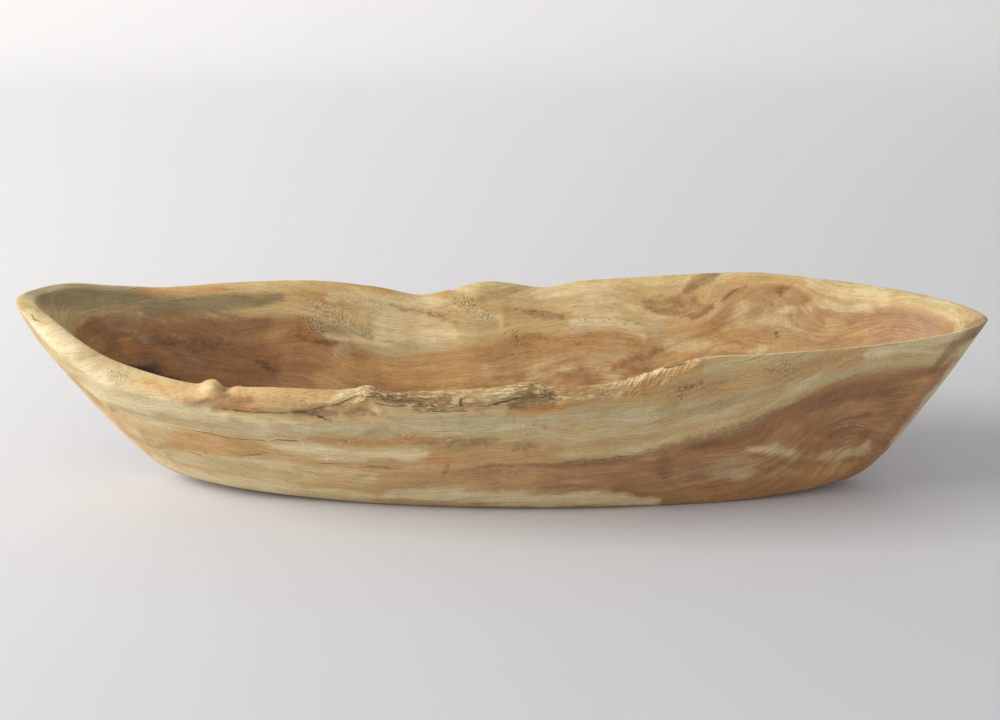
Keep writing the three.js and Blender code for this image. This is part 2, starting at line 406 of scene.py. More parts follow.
# The figures of the two walls blend within about this distance of the middle line
SIDE_BLEND = 12

# Marks on the two walls, as soft strokes: how strong, and a line of (x, height, reach)
FRONT_MARKS = {
    "tan": [
        (0.9, (-300, 117, 4), (-262, 112, 6), (-236, 112, 6)),
        (0.9, (-236, 112, 5), (-190, 112, 8), (-150, 117, 7), (-120, 113, 5)),
        (0.9, (-118, 102, 5), (-98, 115, 8), (-88, 108, 5)),
        (0.4, (-340, 122, 4), (-300, 110, 6), (-262, 106, 5)),
        (0.7, (-75, 112, 5), (0, 113, 6), (60, 114, 7), (110, 118, 7)),
        (1, (110, 120, 8), (165, 120, 12), (215, 126, 11), (260, 136, 8), (310, 143, 5)),
        (0.9, (-200, 62, 6), (-150, 52, 11), (-70, 54, 22), (0, 62, 16), (40, 68, 8)),
        (0.7, (-90, 32, 8), (-20, 36, 12), (40, 40, 10)),
        (0.5, (200, 30, 10), (250, 26, 8), (290, 26, 6)),
        (0.5, (40, 68, 6), (110, 76, 7), (170, 88, 6)),
        (0.5, (-240, 76, 5), (-180, 74, 6), (-150, 73, 4)),
        (0.6, (150, 100, 6), (190, 110, 7), (235, 122, 5)),
        (0.6, (-170, 22, 6), (-130, 22, 9), (-95, 24, 6)),
    ],
    "grey": [
        (1, (-388, 154, 6), (-351, 138, 10), (-317, 119, 12), (-285, 107, 9), (-240, 100, 5)),
        (0.6, (-330, 90, 3), (-311, 88, 5), (-280, 87, 6), (-252, 87, 6)),
        (0.8, (-252, 87, 6), (-200, 85, 8), (-175, 84, 7)),
        (1, (-178, 84, 7), (-156, 84, 8), (-136, 86, 6)),
        (0.8, (-150, 87, 6), (-100, 91, 7), (-50, 96, 7), (0, 99, 8)),
        (0.6, (0, 98, 8), (60, 100, 9), (120, 96, 9), (180, 106, 7), (240, 119, 6), (300, 131, 4)),
        (0.4, (20, 80, 8), (90, 84, 9), (150, 92, 6)),
        (0.7, (-275, 37, 4), (-250, 40, 6), (-220, 41, 6), (-190, 42, 4)),
        (0.9, (-104, 88, 6), (-95, 88, 8), (-86, 87, 6)),
        (0.5, (130, 34, 8), (190, 38, 12), (232, 34, 8)),
    ],
    "pale": [
        (0.7, (-387, 156, 6), (-351, 138, 10), (-321, 110, 12), (-280, 100, 9), (-235, 99, 5)),
        (0.5, (-188, 84, 5), (-156, 84, 7), (-130, 87, 5)),
        (1, (-330, 99, 6), (-290, 98, 8), (-250, 98, 7), (-215, 93, 4)),
        (1, (-290, 26, 8), (-240, 16, 9), (-175, 16, 8)),
        (1, (-330, 72, 3), (-318, 53, 6), (-305, 37, 7), (-290, 26, 7)),
        (0.6, (-175, 12, 5), (-90, 12, 6)),
        (0.9, (-190, 70, 4), (-160, 66, 8), (-110, 62, 8), (-60, 64, 5)),
        (0.5, (-190, 45, 4), (-150, 40, 6), (-100, 38, 5)),
        (0.8, (-235, 101, 3), (-200, 94, 3), (-160, 93, 3)),
        (0.9, (-90, 17, 6), (-35, 18, 10), (12, 13, 8), (40, 12, 7), (85, 13, 9), (108, 11, 7),
         (126, 7, 5)),
        (0.6, (-302, 81, 4), (-272, 78, 5), (-243, 77, 4)),
        (1, (-16, 121, 3), (-6, 123, 4), (10, 126, 3)),
        (0.6, (-92, 112, 3), (-85, 100, 4), (-80, 92, 3)),
        (0.5, (80, 100, 6), (110, 101, 8), (140, 97, 6)),
        (0.8, (-130, 116, 3), (-112, 121, 4), (-100, 125, 3)),
        (1, (110, 136, 3), (124, 138, 5), (136, 143, 3)),
        (0.6, (203, 57, 4), (218, 53, 8), (235, 49, 9), (252, 45, 6)),
        (0.5, (258, 44, 6), (272, 42, 9), (287, 42, 6)),
        (0.2, (266, 55, 5), (282, 57, 6)),
        (0.5, (295, 36, 6), (300, 42, 9), (302, 50, 5)),
        (1, (290, 140, 4), (335, 143, 5), (368, 146, 4)),
        (1, (393, 147, 4), (380, 114, 7), (356, 78, 8), (332, 42, 7)),
        (0.3, (180, 100, 4), (215, 112, 4), (250, 125, 4)),
    ],
    "orange": [
        (0.45, (-314, 76, 3), (-295, 69, 5), (-262, 67, 6)),
        (1, (-262, 67, 5), (-238, 67, 7), (-208, 66, 5), (-184, 66, 2)),
        (1, (-275, 54, 3), (-240, 56, 5), (-210, 57, 4), (-186, 57, 1.5)),
        (0.65, (-265, 77, 2), (-235, 72, 2.5), (-200, 69.5, 2.5), (-160, 72, 2)),
        (0.9, (-150, 76, 2), (-129, 74, 6), (-100, 74, 6), (-74, 79, 4), (-54, 82, 1)),
        (0.9, (-350, 101, 5), (-335, 84, 5), (-320, 66, 5), (-303, 44, 5), (-293, 28, 3)),
        (1, (-224, 101, 3), (-208, 102, 5), (-188, 103, 4)),
        (0.8, (38, 124, 3), (60, 125, 4), (74, 126, 3)),
        (0.8, (8, 106, 2), (24, 107, 5), (42, 110, 4), (54, 113, 2)),
        (0.5, (-152, 99, 2), (-140, 95, 3), (-128, 93, 2)),
        (0.8, (-62, 60, 2), (-47, 60, 5), (-34, 58, 3)),
        (0.8, (95, 123, 3), (125, 132, 6), (150, 140, 4)),
        (0.5, (-305, 121, 3), (-282, 116, 5), (-262, 114, 4)),
        (0.4, (-180, 122, 3), (-150, 123, 4), (-130, 119, 3)),
        (0.4, (-30, 30, 3), (20, 28, 4), (60, 38, 3)),
        (0.5, (250, 22, 3), (285, 24, 4), (310, 30, 3)),
        (0.5, (345, 105, 5), (335, 88, 5), (318, 68, 4)),
    ],
    "umber": [
        (0.6, (-98, 121, 3), (-80, 119, 5), (-60, 119, 5), (-36, 119, 4)),
        (0.6, (-122, 103, 3), (-100, 107, 5), (-90, 104, 3)),
        (0.7, (-219, 114, 3), (-208, 113, 5), (-194, 111, 3)),
        (0.8, (8, 111, 3), (23, 111, 4), (40, 112, 3)),
        (0.6, (-66, 79, 6), (-38, 77, 9), (-6, 78, 6)),
        (0.4, (-262, 112, 3), (-235, 108, 4), (-205, 105, 4)),
        (0.7, (-40, 54, 2), (-44, 46, 2.5), (-47, 36, 2)),
        (0.8, (-157, 104, 3), (-144, 103, 6), (-130, 104, 4)),
        (0.6, (14, 119, 4), (26, 121, 7), (37, 121, 4)),
        (0.9, (350, 114, 4), (368, 134, 6), (382, 143, 8), (396, 148, 7)),
        (0.8, (131, 58, 7), (133, 45, 9), (133, 33, 5)),
        (0.5, (-34, 44, 5), (-15, 46, 9), (14, 48, 8)),
        (0.4, (24, 94, 3), (35, 91, 4)),
        (0.6, (14, 72, 5), (26, 73, 6)),
        (0.8, (-16, 51, 2), (10, 53, 3), (48, 51, 3), (79, 55, 4), (123, 61, 4), (158, 69, 6)),
        (0.8, (158, 68, 6), (190, 75, 8), (215, 87, 11), (245, 97, 11), (275, 104, 10), (320, 104, 6)),
        (0.6, (35, 25, 1.5), (56, 31, 2.5), (81, 28, 2.5), (116, 16, 2)),
        (0.6, (226, 92, 5), (237, 86, 8), (247, 76, 6)),
        (0.7, (250, 70, 4), (262, 71, 7), (275, 79, 5), (300, 80, 3)),
        (0.5, (380, 146, 3), (368, 121, 5), (355, 93, 6), (342, 77, 5), (326, 60, 4), (312, 38, 3)),
        (0.7, (141, 122, 2), (151, 125, 3)),
        (0.6, (159, 126, 2), (172, 128, 2)),
        (0.5, (-300, 46, 2), (-270, 50, 3), (-240, 52, 2)),
        (0.8, (268, 64, 5), (286, 66, 8), (302, 60, 5)),
    ],
    "olive": [
        (0.4, (50, 106, 4), (80, 107, 6), (108, 107, 5)),
        (0.5, (125, 102, 4), (131, 106, 8), (138, 112, 3)),
        (0.4, (-160, 92, 2), (-120, 96, 3)),
        (0.4, (150, 100, 3), (190, 108, 4)),
        (0.3, (-310, 97, 2), (-295, 93, 3)),
    ],
    "dark": [
        (0.45, (-154, 102, 2), (-144, 101, 2.5), (-134, 96, 2.5)),
        (0.3, (-148, 104, 2), (-138, 106, 2.5), (-130, 111, 2)),
        (0.5, (-214, 119, 2.5), (-210, 121, 2.5)),
        (0.5, (382, 143, 1.5), (384, 138, 2)),
        (0.3, (18, 121, 3), (27, 123, 4), (36, 122, 3)),
        (0.6, (130, 141, 2), (139, 143, 2)),
        (0.3, (-100, 123, 2), (-92, 119, 2.5), (-80, 118, 2.5)),
    ],
    "hole_shade": [],
    "pitted": [
        (1, (208, 135, 3), (220, 137, 6), (231, 139, 3)),
        (0.7, (-310, 121, 3), (-300, 119, 4)),
        (0.9, (-131, 75, 3), (-116, 76, 3)),
        (0.6, (64, 125, 2), (80, 125, 3)),
        (0.8, (140, 112, 4), (146, 122, 6), (160, 126, 4)),
        (0.5, (120, 100, 4), (133, 106, 6)),
        (0.4, (18, 74, 6), (30, 92, 5)),
        (0.6, (-80, 84, 3), (-66, 84, 3)),
    ],
    "ringy": [(0.35, (215, 90, 12), (265, 92, 20), (310, 92, 14))],
}
BACK_MARKS = {
    "tan": [
        (0.4, (-310, 126, 3), (-285, 127, 4), (-252, 125, 4), (-218, 124, 4), (-190, 122, 4)),
        (0.8, (-210, 136, 4), (-160, 134, 9), (-110, 130, 10), (-60, 122, 8), (-35, 120, 6)),
        (1, (-160, 66, 8), (-110, 74, 14), (-20, 76, 18), (60, 84, 20), (140, 98, 18), (220, 104, 12)),
        (0.6, (0, 118, 5), (50, 112, 7), (100, 108, 6), (150, 112, 6)),
        (0.8, (155, 128, 8), (180, 132, 10)),
        (0.6, (180, 132, 10), (215, 136, 12), (260, 128, 10)),
        (0.5, (150, 84, 8), (210, 106, 12), (260, 112, 10), (310, 118, 6)),
    ],
    "grey": [
        (0.4, (-120, 98, 2), (-85, 95, 3), (-50, 96, 2), (-10, 98, 2)),
        (0.4, (-165, 116, 5), (-145, 112, 6), (-125, 104, 4)),
        (0.4, (20, 128, 4), (60, 128, 5), (100, 128, 4)),
        (0.45, (20, 72, 8), (70, 76, 14), (120, 84, 12), (165, 100, 8)),
        (0.8, (60, 107, 6), (100, 106, 9), (140, 106, 8)),
        (0.5, (200, 112, 8), (235, 116, 10), (270, 112, 8)),
        (0.5, (215, 130, 6), (235, 132, 8), (262, 130, 6)),
        (0.7, (-140, 90, 6), (-80, 88, 8), (-40, 90, 6)),
    ],
    "pale": [
        (1, (-112, 114, 4), (-85, 112, 10), (-62, 108, 10), (-42, 99, 5)),
        (0.9, (-150, 102, 3), (-125, 99, 6), (-95, 98, 5), (-60, 96, 4)),
        (1, (-148, 135, 4), (-130, 134, 7), (-105, 126, 8), (-70, 120, 6)),
        (0.9, (-95, 122, 4), (-62, 125, 7), (-38, 122, 5)),
        (0.4, (-10, 68, 8), (30, 72, 12), (70, 68, 12), (105, 68, 9)),
        (0.6, (46, 70, 4), (66, 69, 6), (84, 70, 4)),
        (0.8, (66, 108, 4), (92, 109, 7), (112, 106, 6), (128, 100, 5)),
        (0.55, (35, 132, 5), (80, 135, 9), (112, 136, 8)),
        (0.5, (70, 116, 4), (100, 120, 6), (118, 124, 4)),
        (0.4, (192, 108, 4), (207, 118, 8), (214, 128, 5)),
        (0.6, (248, 129, 4), (268, 133, 5), (290, 136, 4)),
        (0.9, (268, 148, 5), (300, 144, 9), (325, 145, 7)),
        (0.5, (325, 146, 6), (362, 149, 4), (388, 146, 3)),
        (0.8, (275, 134, 5), (300, 131, 5), (318, 136, 4)),
        (0.4, (265, 118, 5), (290, 119, 6), (310, 124, 4)),
        (0.6, (-40, 122, 3), (-20, 118, 5), (-8, 112, 3)),
        (0.5, (150, 92, 5), (195, 94, 6), (230, 92, 4)),
        (0.5, (-330, 124, 2.5), (-301, 109, 2.5), (-287, 100, 3), (-264, 91, 3), (-240, 82, 2.5)),
        (0.4, (-306, 130, 2.5), (-290, 118, 2.5), (-268, 104, 2.5)),
    ],
    "orange": [
        (0.45, (-212, 141, 2), (-160, 143, 6), (-120, 138, 6), (-90, 133, 5)),
        (0.9, (-170, 147, 3), (-120, 144, 3.5), (-85, 137, 3), (-48, 131, 3)),
        (0.5, (-180, 106, 3), (-167, 101, 5), (-153, 96, 4)),
        (0.8, (-325, 114, 3), (-308, 104, 4), (-292, 97, 3)),
        (0.7, (-312, 148, 2), (-275, 145, 4), (-240, 143, 3)),
        (0.5, (200, 146, 4), (230, 150, 4), (262, 148, 4)),
        (0.2, (332, 126, 4), (345, 129, 8), (366, 131, 6)),
        (0.5, (12, 100, 3), (18, 96, 6), (26, 90, 3)),
        (0.5, (-20, 84, 2), (30, 92, 4), (80, 98, 4), (130, 104, 3)),
    ],
    "umber": [
        # The first strokes here darken the inside of the left end: the heartwood's own brown, deepened as
        # painted shade of the left rim
        (0.9, (-345, 128, 6), (-315, 108, 16), (-270, 92, 26), (-235, 86, 26), (-200, 78, 14)),
        (1, (-224, 88, 3), (-208, 82, 6), (-192, 76, 6)),
        (1, (-300, 118, 4), (-270, 114, 6), (-235, 115, 9), (-205, 112, 6)),
        (1, (-180, 107, 4), (-168, 101, 6), (-154, 97, 6), (-144, 95, 3)),
        (0.3, (-172, 128, 3), (-158, 123, 6), (-140, 115, 5)),
        (0.7, (12, 120, 2), (35, 115, 3), (58, 112, 2)),
        (0.6, (26, 97, 2), (48, 95, 3.5), (72, 92, 2)),
        (0.3, (-22, 77, 2), (18, 82, 2), (54, 87, 2)),
        (0.8, (102, 74, 4), (124, 82, 6), (143, 90, 3)),
        (0.6, (118, 72, 4), (134, 71, 5), (146, 76, 3)),
        (0.9, (134, 122, 2), (150, 119, 3), (170, 118, 2)),
        (0.9, (167, 113, 2), (176, 121, 4), (187, 128, 2)),
        (0.7, (198, 130, 2), (206, 138, 4), (215, 145, 2)),
        (0.8, (162, 139, 3), (175, 146, 6), (188, 151, 4)),
        (0.4, (229, 141, 2), (232, 133, 3), (245, 130, 3), (252, 133, 2)),
        (0.6, (240, 144, 2), (248, 142, 4), (254, 146, 2)),
        (0.5, (188, 114, 2), (194, 106, 3), (205, 99, 3), (222, 98, 2)),
        (0.6, (132, 126, 5), (152, 127, 7), (174, 130, 6)),
        (0.55, (328, 123, 4), (346, 127, 9), (366, 132, 7)),
        (0.5, (5, 106, 3), (12, 98, 5), (16, 90, 3)),
        (0.5, (-100, 124, 2), (-70, 118, 2), (-48, 116, 2)),
    ],
    "olive": [
        (1, (-396, 160, 4), (-363, 153, 9), (-335, 146, 9), (-309, 142, 7), (-280, 140, 4)),
        (1, (-302, 133, 4), (-275, 134, 8), (-248, 132, 7)),
        (0.9, (-248, 132, 7), (-222, 132, 6), (-192, 136, 3)),
        (0.7, (-160, 109, 3), (-138, 105, 6), (-118, 99, 4)),
        (0.5, (-26, 134, 3), (0, 136, 7), (26, 136, 4)),
        (0.5, (-110, 97, 1), (-83, 94, 1.5), (-56, 95, 1)),
        (0.6, (-345, 130, 4), (-320, 126, 5), (-300, 128, 3)),
    ],
    "dark": [
        (0.7, (-324, 93, 3), (-300, 84, 5), (-280, 74, 4)),
        # Partly painted shade, darkening the inside of the left end under the left rim
        (0.45, (-292, 104, 5), (-269, 101, 8), (-244, 98, 6)),
        (0.6, (-176, 104, 3), (-164, 99, 4), (-152, 95, 3)),
        (0.6, (-214, 84, 2), (-204, 80, 4), (-192, 75, 2)),
        (0.6, (-40, 109, 2), (-36, 108, 2)),
        (0.9, (240, 106, 2), (240.5, 106, 2)),
        (0.5, (244, 142, 2), (247, 141, 2)),
        (0.5, (14, 136, 2), (18, 135, 2)),
        (0.4, (-200, 138, 2), (-192, 139, 2)),
    ],
    # Near-black painted shade of a hole in the inside of the left end
    "hole_shade": [(1, (-318, 88, 2), (-300, 83, 4), (-286, 76, 2.5))],
    "pitted": [
        (0.8, (-170, 133, 1), (-156, 126, 6), (-146, 119, 7), (-132, 113, 5), (-115, 105, 2)),
        (0.9, (-176, 117, 2), (-165, 112, 6), (-152, 106, 4)),
        (0.6, (-130, 129, 2), (-112, 125, 5), (-100, 120, 2)),
        (0.9, (-38, 127, 3), (-22, 121, 4), (-11, 113, 3)),
        (0.6, (8, 99, 4), (20, 95, 5), (14, 90, 4)),
        (0.5, (-70, 118, 3), (-40, 116, 4)),
        (0.5, (70, 108, 4), (120, 112, 4)),
    ],
    "ringy": [
        (0.6, (225, 100, 6), (262, 108, 10), (300, 117, 9)),
        (0.8, (300, 118, 8), (325, 122, 12), (345, 126, 12), (364, 124, 7)),
    ],
}

# Thin lines on the two walls: cracks, and on the front also painted shade along the foot of the torn edge
# and painted shadow under its ridge; how strong, and a line of (x, height)
FRONT_CRACKS_AND_SHADE_LINES = [
    (0.7, (-211, 54), (-200, 54.5), (-188, 56)),
    (0.4, (-262, 49), (-250, 47), (-238, 48)),
    (0.5, (-148, 50), (-135, 50.5), (-122, 50)),
    (0.5, (-114, 47), (-98, 48.5), (-78, 48)),
    # Painted shade in the crevice at the foot of the torn edge, in the next two lines
    (1, (-226, 101), (-204, 99), (-188, 100.5), (-172, 102), (-158, 103)),
    (1.5, (-160, 104), (-147, 101), (-134, 95)),
    # Painted shadow under the ridge of the torn edge
    (1.1, (-146, 106), (-134, 110), (-122, 114), (-108, 121)),
    (1.4, (-28, 113), (-27, 121)),
    (1.2, (-16, 113), (2, 117), (18, 121)),
    (0.8, (-100, 117), (-82, 114), (-60, 115), (-38, 113)),
    # Painted shade along the foot of the torn edge
    (0.6, (-60, 107), (-40, 107), (-10, 110)),
    (0.4, (20, 54), (60, 55), (105, 62), (140, 68)),
    (0.4, (-384, 156), (-376, 153), (-366, 150)),
    (0.3, (-60, 88), (-30, 90), (0, 92)),
    (0.3, (-130, 29), (-96, 27), (-60, 25)),
    (0.7, (-275, 80), (-250, 76), (-225, 73), (-195, 71.5), (-165, 74), (-145, 77)),
    (0.4, (250, 77), (246, 68), (243, 57)),
    (1.5, (124, 138), (132, 141), (140, 144)),
]
BACK_CRACKS = [
    (0.3, (-24, 78), (18, 82), (56, 87)),
    (0.3, (-112, 97), (-96, 96), (-80, 94.5)),
    (0.3, (20, 119), (38, 116), (60, 113)),
    (0.4, (212, 147), (204, 137), (198, 130)),
    (0.3, (-300, 137), (-280, 139), (-255, 138)),
]
FRONT_PALE_LINES = [
    (0.6, (266, 66), (275, 71), (288, 71.5), (306, 63)),
    (0.3, (256, 84), (275, 88), (300, 84)),
    (0.3, (237, 58), (240, 67), (243, 76)),
]
BACK_PALE_LINES = [(0.4, (-108, 79), (-80, 74), (-50, 71))]

# Knots turn the rings round themselves: (x, height, reach, push on the rings)
FRONT_KNOTS = [
    (-222, 121, 11, 12), (-98, 119, 12, 10), (23, 124, 13, -14), (-93, 89, 14, 14), (30, 84, 10, 7),
    (27, 68, 11, 8), (27, 38, 15, 12), (127, 58, 18, -10), (285, 52, 30, 26), (175, 116, 12, 6),
    (-180, 90, 14, 5), (210, 60, 26, -12), (-20, 40, 20, 7),
]
BACK_KNOTS = [
    (248, 140, 22, 24), (338, 116, 34, 26), (16, 95, 12, 10), (-158, 112, 26, 14), (-9, 126, 22, -12),
    (-215, 90, 30, -14), (180, 120, 22, -12), (-300, 135, 26, 10), (90, 80, 40, 10), (-60, 116, 26, 7),
]

# Lumps and cuts too small for the hull's own curves: rise out of the surface, (x, height, reach)
FRONT_RELIEF = [
    (-2.2, (-222, 100, 2.5), (-202, 99, 3), (-188, 100, 3), (-170, 102, 3), (-152, 103, 3)),
    (1.6, (-190, 106, 3), (-153, 110, 4), (-130, 116, 3), (-112, 122, 3), (-99, 125, 4)),
    (-3, (-152, 99, 3), (-138, 98, 3)),
    (-2, (-148, 105, 2.5), (-134, 106, 3)),
    (-1.8, (-126, 104, 5), (-104, 108, 6)),
    (1.4, (-94, 118, 2.5), (-89, 107, 3), (-83, 95, 2.5)),
    (1.2, (-228, 121, 4), (-220, 122, 4)),
    (-2.2, (-214, 121, 2.5), (-209, 118, 2.5)),
    (1, (-207, 122, 2.5), (-203, 119, 2.5)),
    (-1.2, (-232, 117, 2.5), (-222, 115, 2.5)),
    (2, (14, 123, 5), (30, 124, 5)),
    (-2, (38, 121, 3), (41, 117, 3)),
    (-1.6, (10, 119, 3), (24, 115, 3)),
    (1.3, (-46, 114, 3), (-20, 118, 4), (12, 125, 3)),
    (-1.5, (-48, 108, 3), (-12, 110, 3), (10, 113, 3)),
    (-1.4, (-80, 118, 4), (-58, 115, 4)),
    (1.6, (-334, 100, 4), (-314, 83, 3.5), (-303, 71, 3.5), (-291, 59, 3.5), (-276, 38, 3.5)),
    (-1, (-337, 88, 5), (-318, 66, 5), (-300, 42, 5)),
    (-0.6, (381, 146, 3), (370, 120, 3.5), (357, 92, 3.5), (345, 78, 3.5), (329, 60, 3.5), (315, 38, 3.5)),
    (-2, (130, 140, 2.5), (138, 142, 2.5)),
    (1, (-108, 86, 4), (-95, 95, 4), (-82, 87, 4)),
    (-0.7, (270, 68, 4), (288, 73, 4), (305, 66, 4)),
    (0.8, (120, 60, 8), (136, 58, 8)),
    (0.8, (205, 136, 5), (235, 139, 5)),
]
BACK_RELIEF = [
    (-1.4, (242, 140, 4), (250, 142, 4)),
    (1, (230, 138, 4), (236, 130, 4), (250, 128, 4), (262, 136, 4)),
    (1.4, (10, 96, 5), (20, 95, 5)),
    (-1.8, (-42, 134, 3), (-26, 127, 3), (-8, 114, 3), (0, 106, 3)),
    (1.4, (-20, 134, 6), (0, 122, 6)),
    (1.2, (-180, 128, 8), (-150, 122, 10), (-120, 110, 8)),
    (-0.8, (-110, 112, 4), (-70, 104, 4), (-40, 96, 4)),
    (0.7, (160, 132, 6), (190, 118, 6), (215, 104, 6)),
    (-0.7, (172, 126, 5), (200, 108, 5)),
    (-0.8, (-224, 86, 6), (-190, 76, 6)),
]


# Wavering of what is drawn: how much, the size of its waves along and up, and its seed
WAVES = 8
WAVER_ALONG = (4, 9, 4, 1)
WAVER_UP = (1.6, 11, 5, 2)
FINE_WAVER_UP = (0.7, 3.5, 1.8, 3)
RAGGED_WAVER = (1.5, 3, 30, 4)

# A stroke fades out past its reach by this, and a knot is this much longer than high
STROKE_SOFTNESS = 1.2
KNOT_STRETCH = 1.5

# A thin line is drawn only this close to its middle, and fades in over this share of its length
LINE_REACH = 5
LINE_FADE = 0.2
FAR_OFF = 50.0

# Thin lines stay this far from the middle line, where the two walls' figures meet
LINE_CLEARANCE = 3

# Marks on the front below this height are on its outside only
LOW_MARKS = 40

# The crest of the front rim is painted paler on the right, a painted highlight along it
CREST_HIGHLIGHT_START = 150
CREST_HIGHLIGHT_END = 385
CREST_HIGHLIGHT_FADE = 25

# The torn edge fades out at its ends, and begins sharply at its ragged line
TORN_FADE = 12
TORN_BELOW_LINE = 1
TORN_SHARPNESS = 3

# The relief starts a little above the ground, so that the base stays flat
RELIEF_START = 1
RELIEF_FADE = 14


def waver(x, z, amount, size_along, size_up, seed):
    """Smooth random waves, up to about the amount each way."""
    rolls = np.random.default_rng(seed)
    total = np.zeros(len(x))
    for _ in range(WAVES):
        turn, phase = rolls.uniform(0, 2 * math.pi, 2)
        total += np.sin(math.cos(turn) * x / size_along + math.sin(turn) * z / size_up + phase)
    return amount * total / (WAVES / 2)


def follow(line, x, z):
    """Distance to a line of (x, height, reach), the reach there, place along it and side of it."""
    line = np.array(line, float)
    spans = len(line) - 1
    distance = np.full(len(x), np.inf)
    reach, along, turn = np.ones((3, len(x)))
    for i, (start, end) in enumerate(zip(line[:-1], line[1:])):
        step_x, step_z = end[:2] - start[:2]
        t = ((x - start[0]) * step_x + (z - start[1]) * step_z) / (step_x ** 2 + step_z ** 2)
        t = np.clip(t, 0, 1)
        off_x = x - start[0] - t * step_x
        off_z = z - start[1] - t * step_z
        here = np.hypot(off_x, off_z)
        closer = here < distance
        distance = np.where(closer, here, distance)
        reach = np.where(closer, start[2] + t * (end[2] - start[2]), reach)
        along = np.where(closer, (i + t) / spans, along)
        turn = np.where(closer, np.sign(step_x * off_z - step_z * off_x), turn)
    return distance, reach, along, turn


def paint(strokes, x, z):
    """Soft strokes; where they overlap the strongest one counts."""
    mask = np.zeros(len(x))
    for strength, *line in strokes:
        distance, reach, _, _ = follow(line, x, z)
        mask = np.maximum(mask, strength * bump(distance, reach * STROKE_SOFTNESS))
    return mask


def raise_strokes(strokes, x, z):
    rise = np.zeros(len(x))
    for lift, *line in strokes:
        distance, reach, _, _ = follow(line, x, z)
        rise += lift * bump(distance, reach)
    return rise


def draw_lines(lines, x, z):
    """How far off the nearest thin line each point is, to one side or the other, and its strength."""
    off = np.full(len(x), FAR_OFF)
    near = np.zeros(len(x))
    for strength, *line in lines:
        distance, _, along, turn = follow([(*place, 1) for place in line], x, z)
        ends = smooth_step(along, 0, LINE_FADE) * smooth_step(1 - along, 0, LINE_FADE)
        ends = ends * (1 - smooth_step(distance, LINE_REACH / 2, LINE_REACH / 2))
        closer = distance < np.abs(off)
        off = np.where(closer, turn * distance, off)
        near = np.where(closer, strength * ends, near)
    return off, near


def ring_push(knots, x, z):
    push = np.zeros(len(x))
    for place, height, reach, strength in knots:
        distance = np.hypot((x - place) / KNOT_STRETCH, z - height)
        push += strength * bump(distance, reach)
    return push


def wood_figure(skin):
    """Where each point of the skin lies in the log, and the marks on it."""
    x, y, z = skin.place.T
    off_middle = y - middle_line(skin.share)
    back = 0.5 + 0.5 * np.tanh(off_middle / SIDE_BLEND)
    front = 1 - back

    def both(on_front, on_back):
        return front * on_front + back * on_back

    radius = np.hypot(y, z - HEART_LINE_HEIGHT)
    heartwood = both(curve_through(FRONT_HEARTWOOD, x), curve_through(BACK_HEARTWOOD, x))
    push = both(ring_push(FRONT_KNOTS, x, z), ring_push(BACK_KNOTS, x, z))
    figure = {
        "ring": (heartwood - radius + push) * MM,
        "round": np.arctan2(y, z - HEART_LINE_HEIGHT) * radius * MM,
        "brown": both(curve_through(FRONT_BROWN, x), curve_through(BACK_BROWN, x)),
    }

    # Marks waver with the grain instead of keeping to their drawn lines
    drawn_x = x + waver(x, z, *WAVER_ALONG)
    drawn_z = z + waver(x, z, *WAVER_UP) + waver(x, z, *FINE_WAVER_UP)

    # Low marks on the outside of the front don't come through on the floor of the hollow
    through = np.where(skin.skin == INSIDE, smooth_step(z, LOW_MARKS, LOW_MARKS), 1)
    for name in FRONT_MARKS:
        on_front = paint(FRONT_MARKS[name], drawn_x, drawn_z) * through
        figure[name] = both(on_front, paint(BACK_MARKS[name], drawn_x, drawn_z))

    # The near-black painted shade of the hole is inside only
    figure["hole_shade"] *= skin.skin == INSIDE

    # Painted highlight along the crest of the front rim on the right, laid into the pale marks
    crest = within(x, CREST_HIGHLIGHT_START, CREST_HIGHLIGHT_END, CREST_HIGHLIGHT_FADE)
    crest = (skin.skin == RIM) * (skin.side == FRONT) * crest
    figure["pale"] = np.maximum(figure["pale"], crest)

    lines = {"crack_and_shade": (FRONT_CRACKS_AND_SHADE_LINES, BACK_CRACKS), "pale_line": (FRONT_PALE_LINES, BACK_PALE_LINES)}
    clear_of_middle = smooth_step(np.abs(off_middle), LINE_CLEARANCE, LINE_CLEARANCE)
    for name, (front_lines, back_lines) in lines.items():
        front_off, front_near = draw_lines(front_lines, drawn_x, drawn_z)
        back_off, back_near = draw_lines(back_lines, drawn_x, drawn_z)
        figure[name + "_off"] = np.where(off_middle < 0, front_off, back_off) * MM
        figure[name + "_near"] = np.where(off_middle < 0, front_near, back_near) * clear_of_middle

    ragged = curve_through(BARK_EDGE_LINE, x) + waver(x, z, *RAGGED_WAVER)
    torn = np.clip(curve_through(TORN_ALONG, x), 0, 1)
    torn = torn * within(x, BARK_EDGE_START, BARK_EDGE_END, TORN_FADE)
    torn = torn * smooth_step(z, ragged - TORN_BELOW_LINE, TORN_SHARPNESS)
    torn = torn * (skin.side == FRONT) * (skin.skin < INSIDE)
    slanted = within(x, SLANTED_START, SLANTED_END, SLANTED_FADE)
    figure["torn"] = torn * (1 - slanted)
    figure["slanted"] = torn * slanted
    front_rise = raise_strokes(FRONT_RELIEF, drawn_x, drawn_z)
    figure["rise"] = both(front_rise, raise_strokes(BACK_RELIEF, drawn_x, drawn_z)) * MM
    figure["off_ground"] = smooth_step(z, RELIEF_START, RELIEF_FADE) * (skin.skin != UNDERSIDE)
    return figure


def hex_colour(code):
    """A colour as it looks on screen, turned into the shader's linear numbers."""
    parts = [int(code[i:i + 2], 16) / 255 for i in (1, 3, 5)]
    linear = [c / 12.92 if c <= 0.04045 else ((c + 0.055) / 1.055) ** 2.4 for c in parts]
    return (*linear, 1)


def new_mesh(name, places, faces):
    mesh = bpy.data.meshes.new(name)
    mesh.from_pydata(places, [], faces)
    return mesh


def new_object(name, data):
    item = bpy.data.objects.new(name, data)
    bpy.context.collection.objects.link(item)
    return item


def smooth_faces(mesh):
    mesh.polygons.foreach_set("use_smooth", np.ones(len(mesh.polygons), bool))


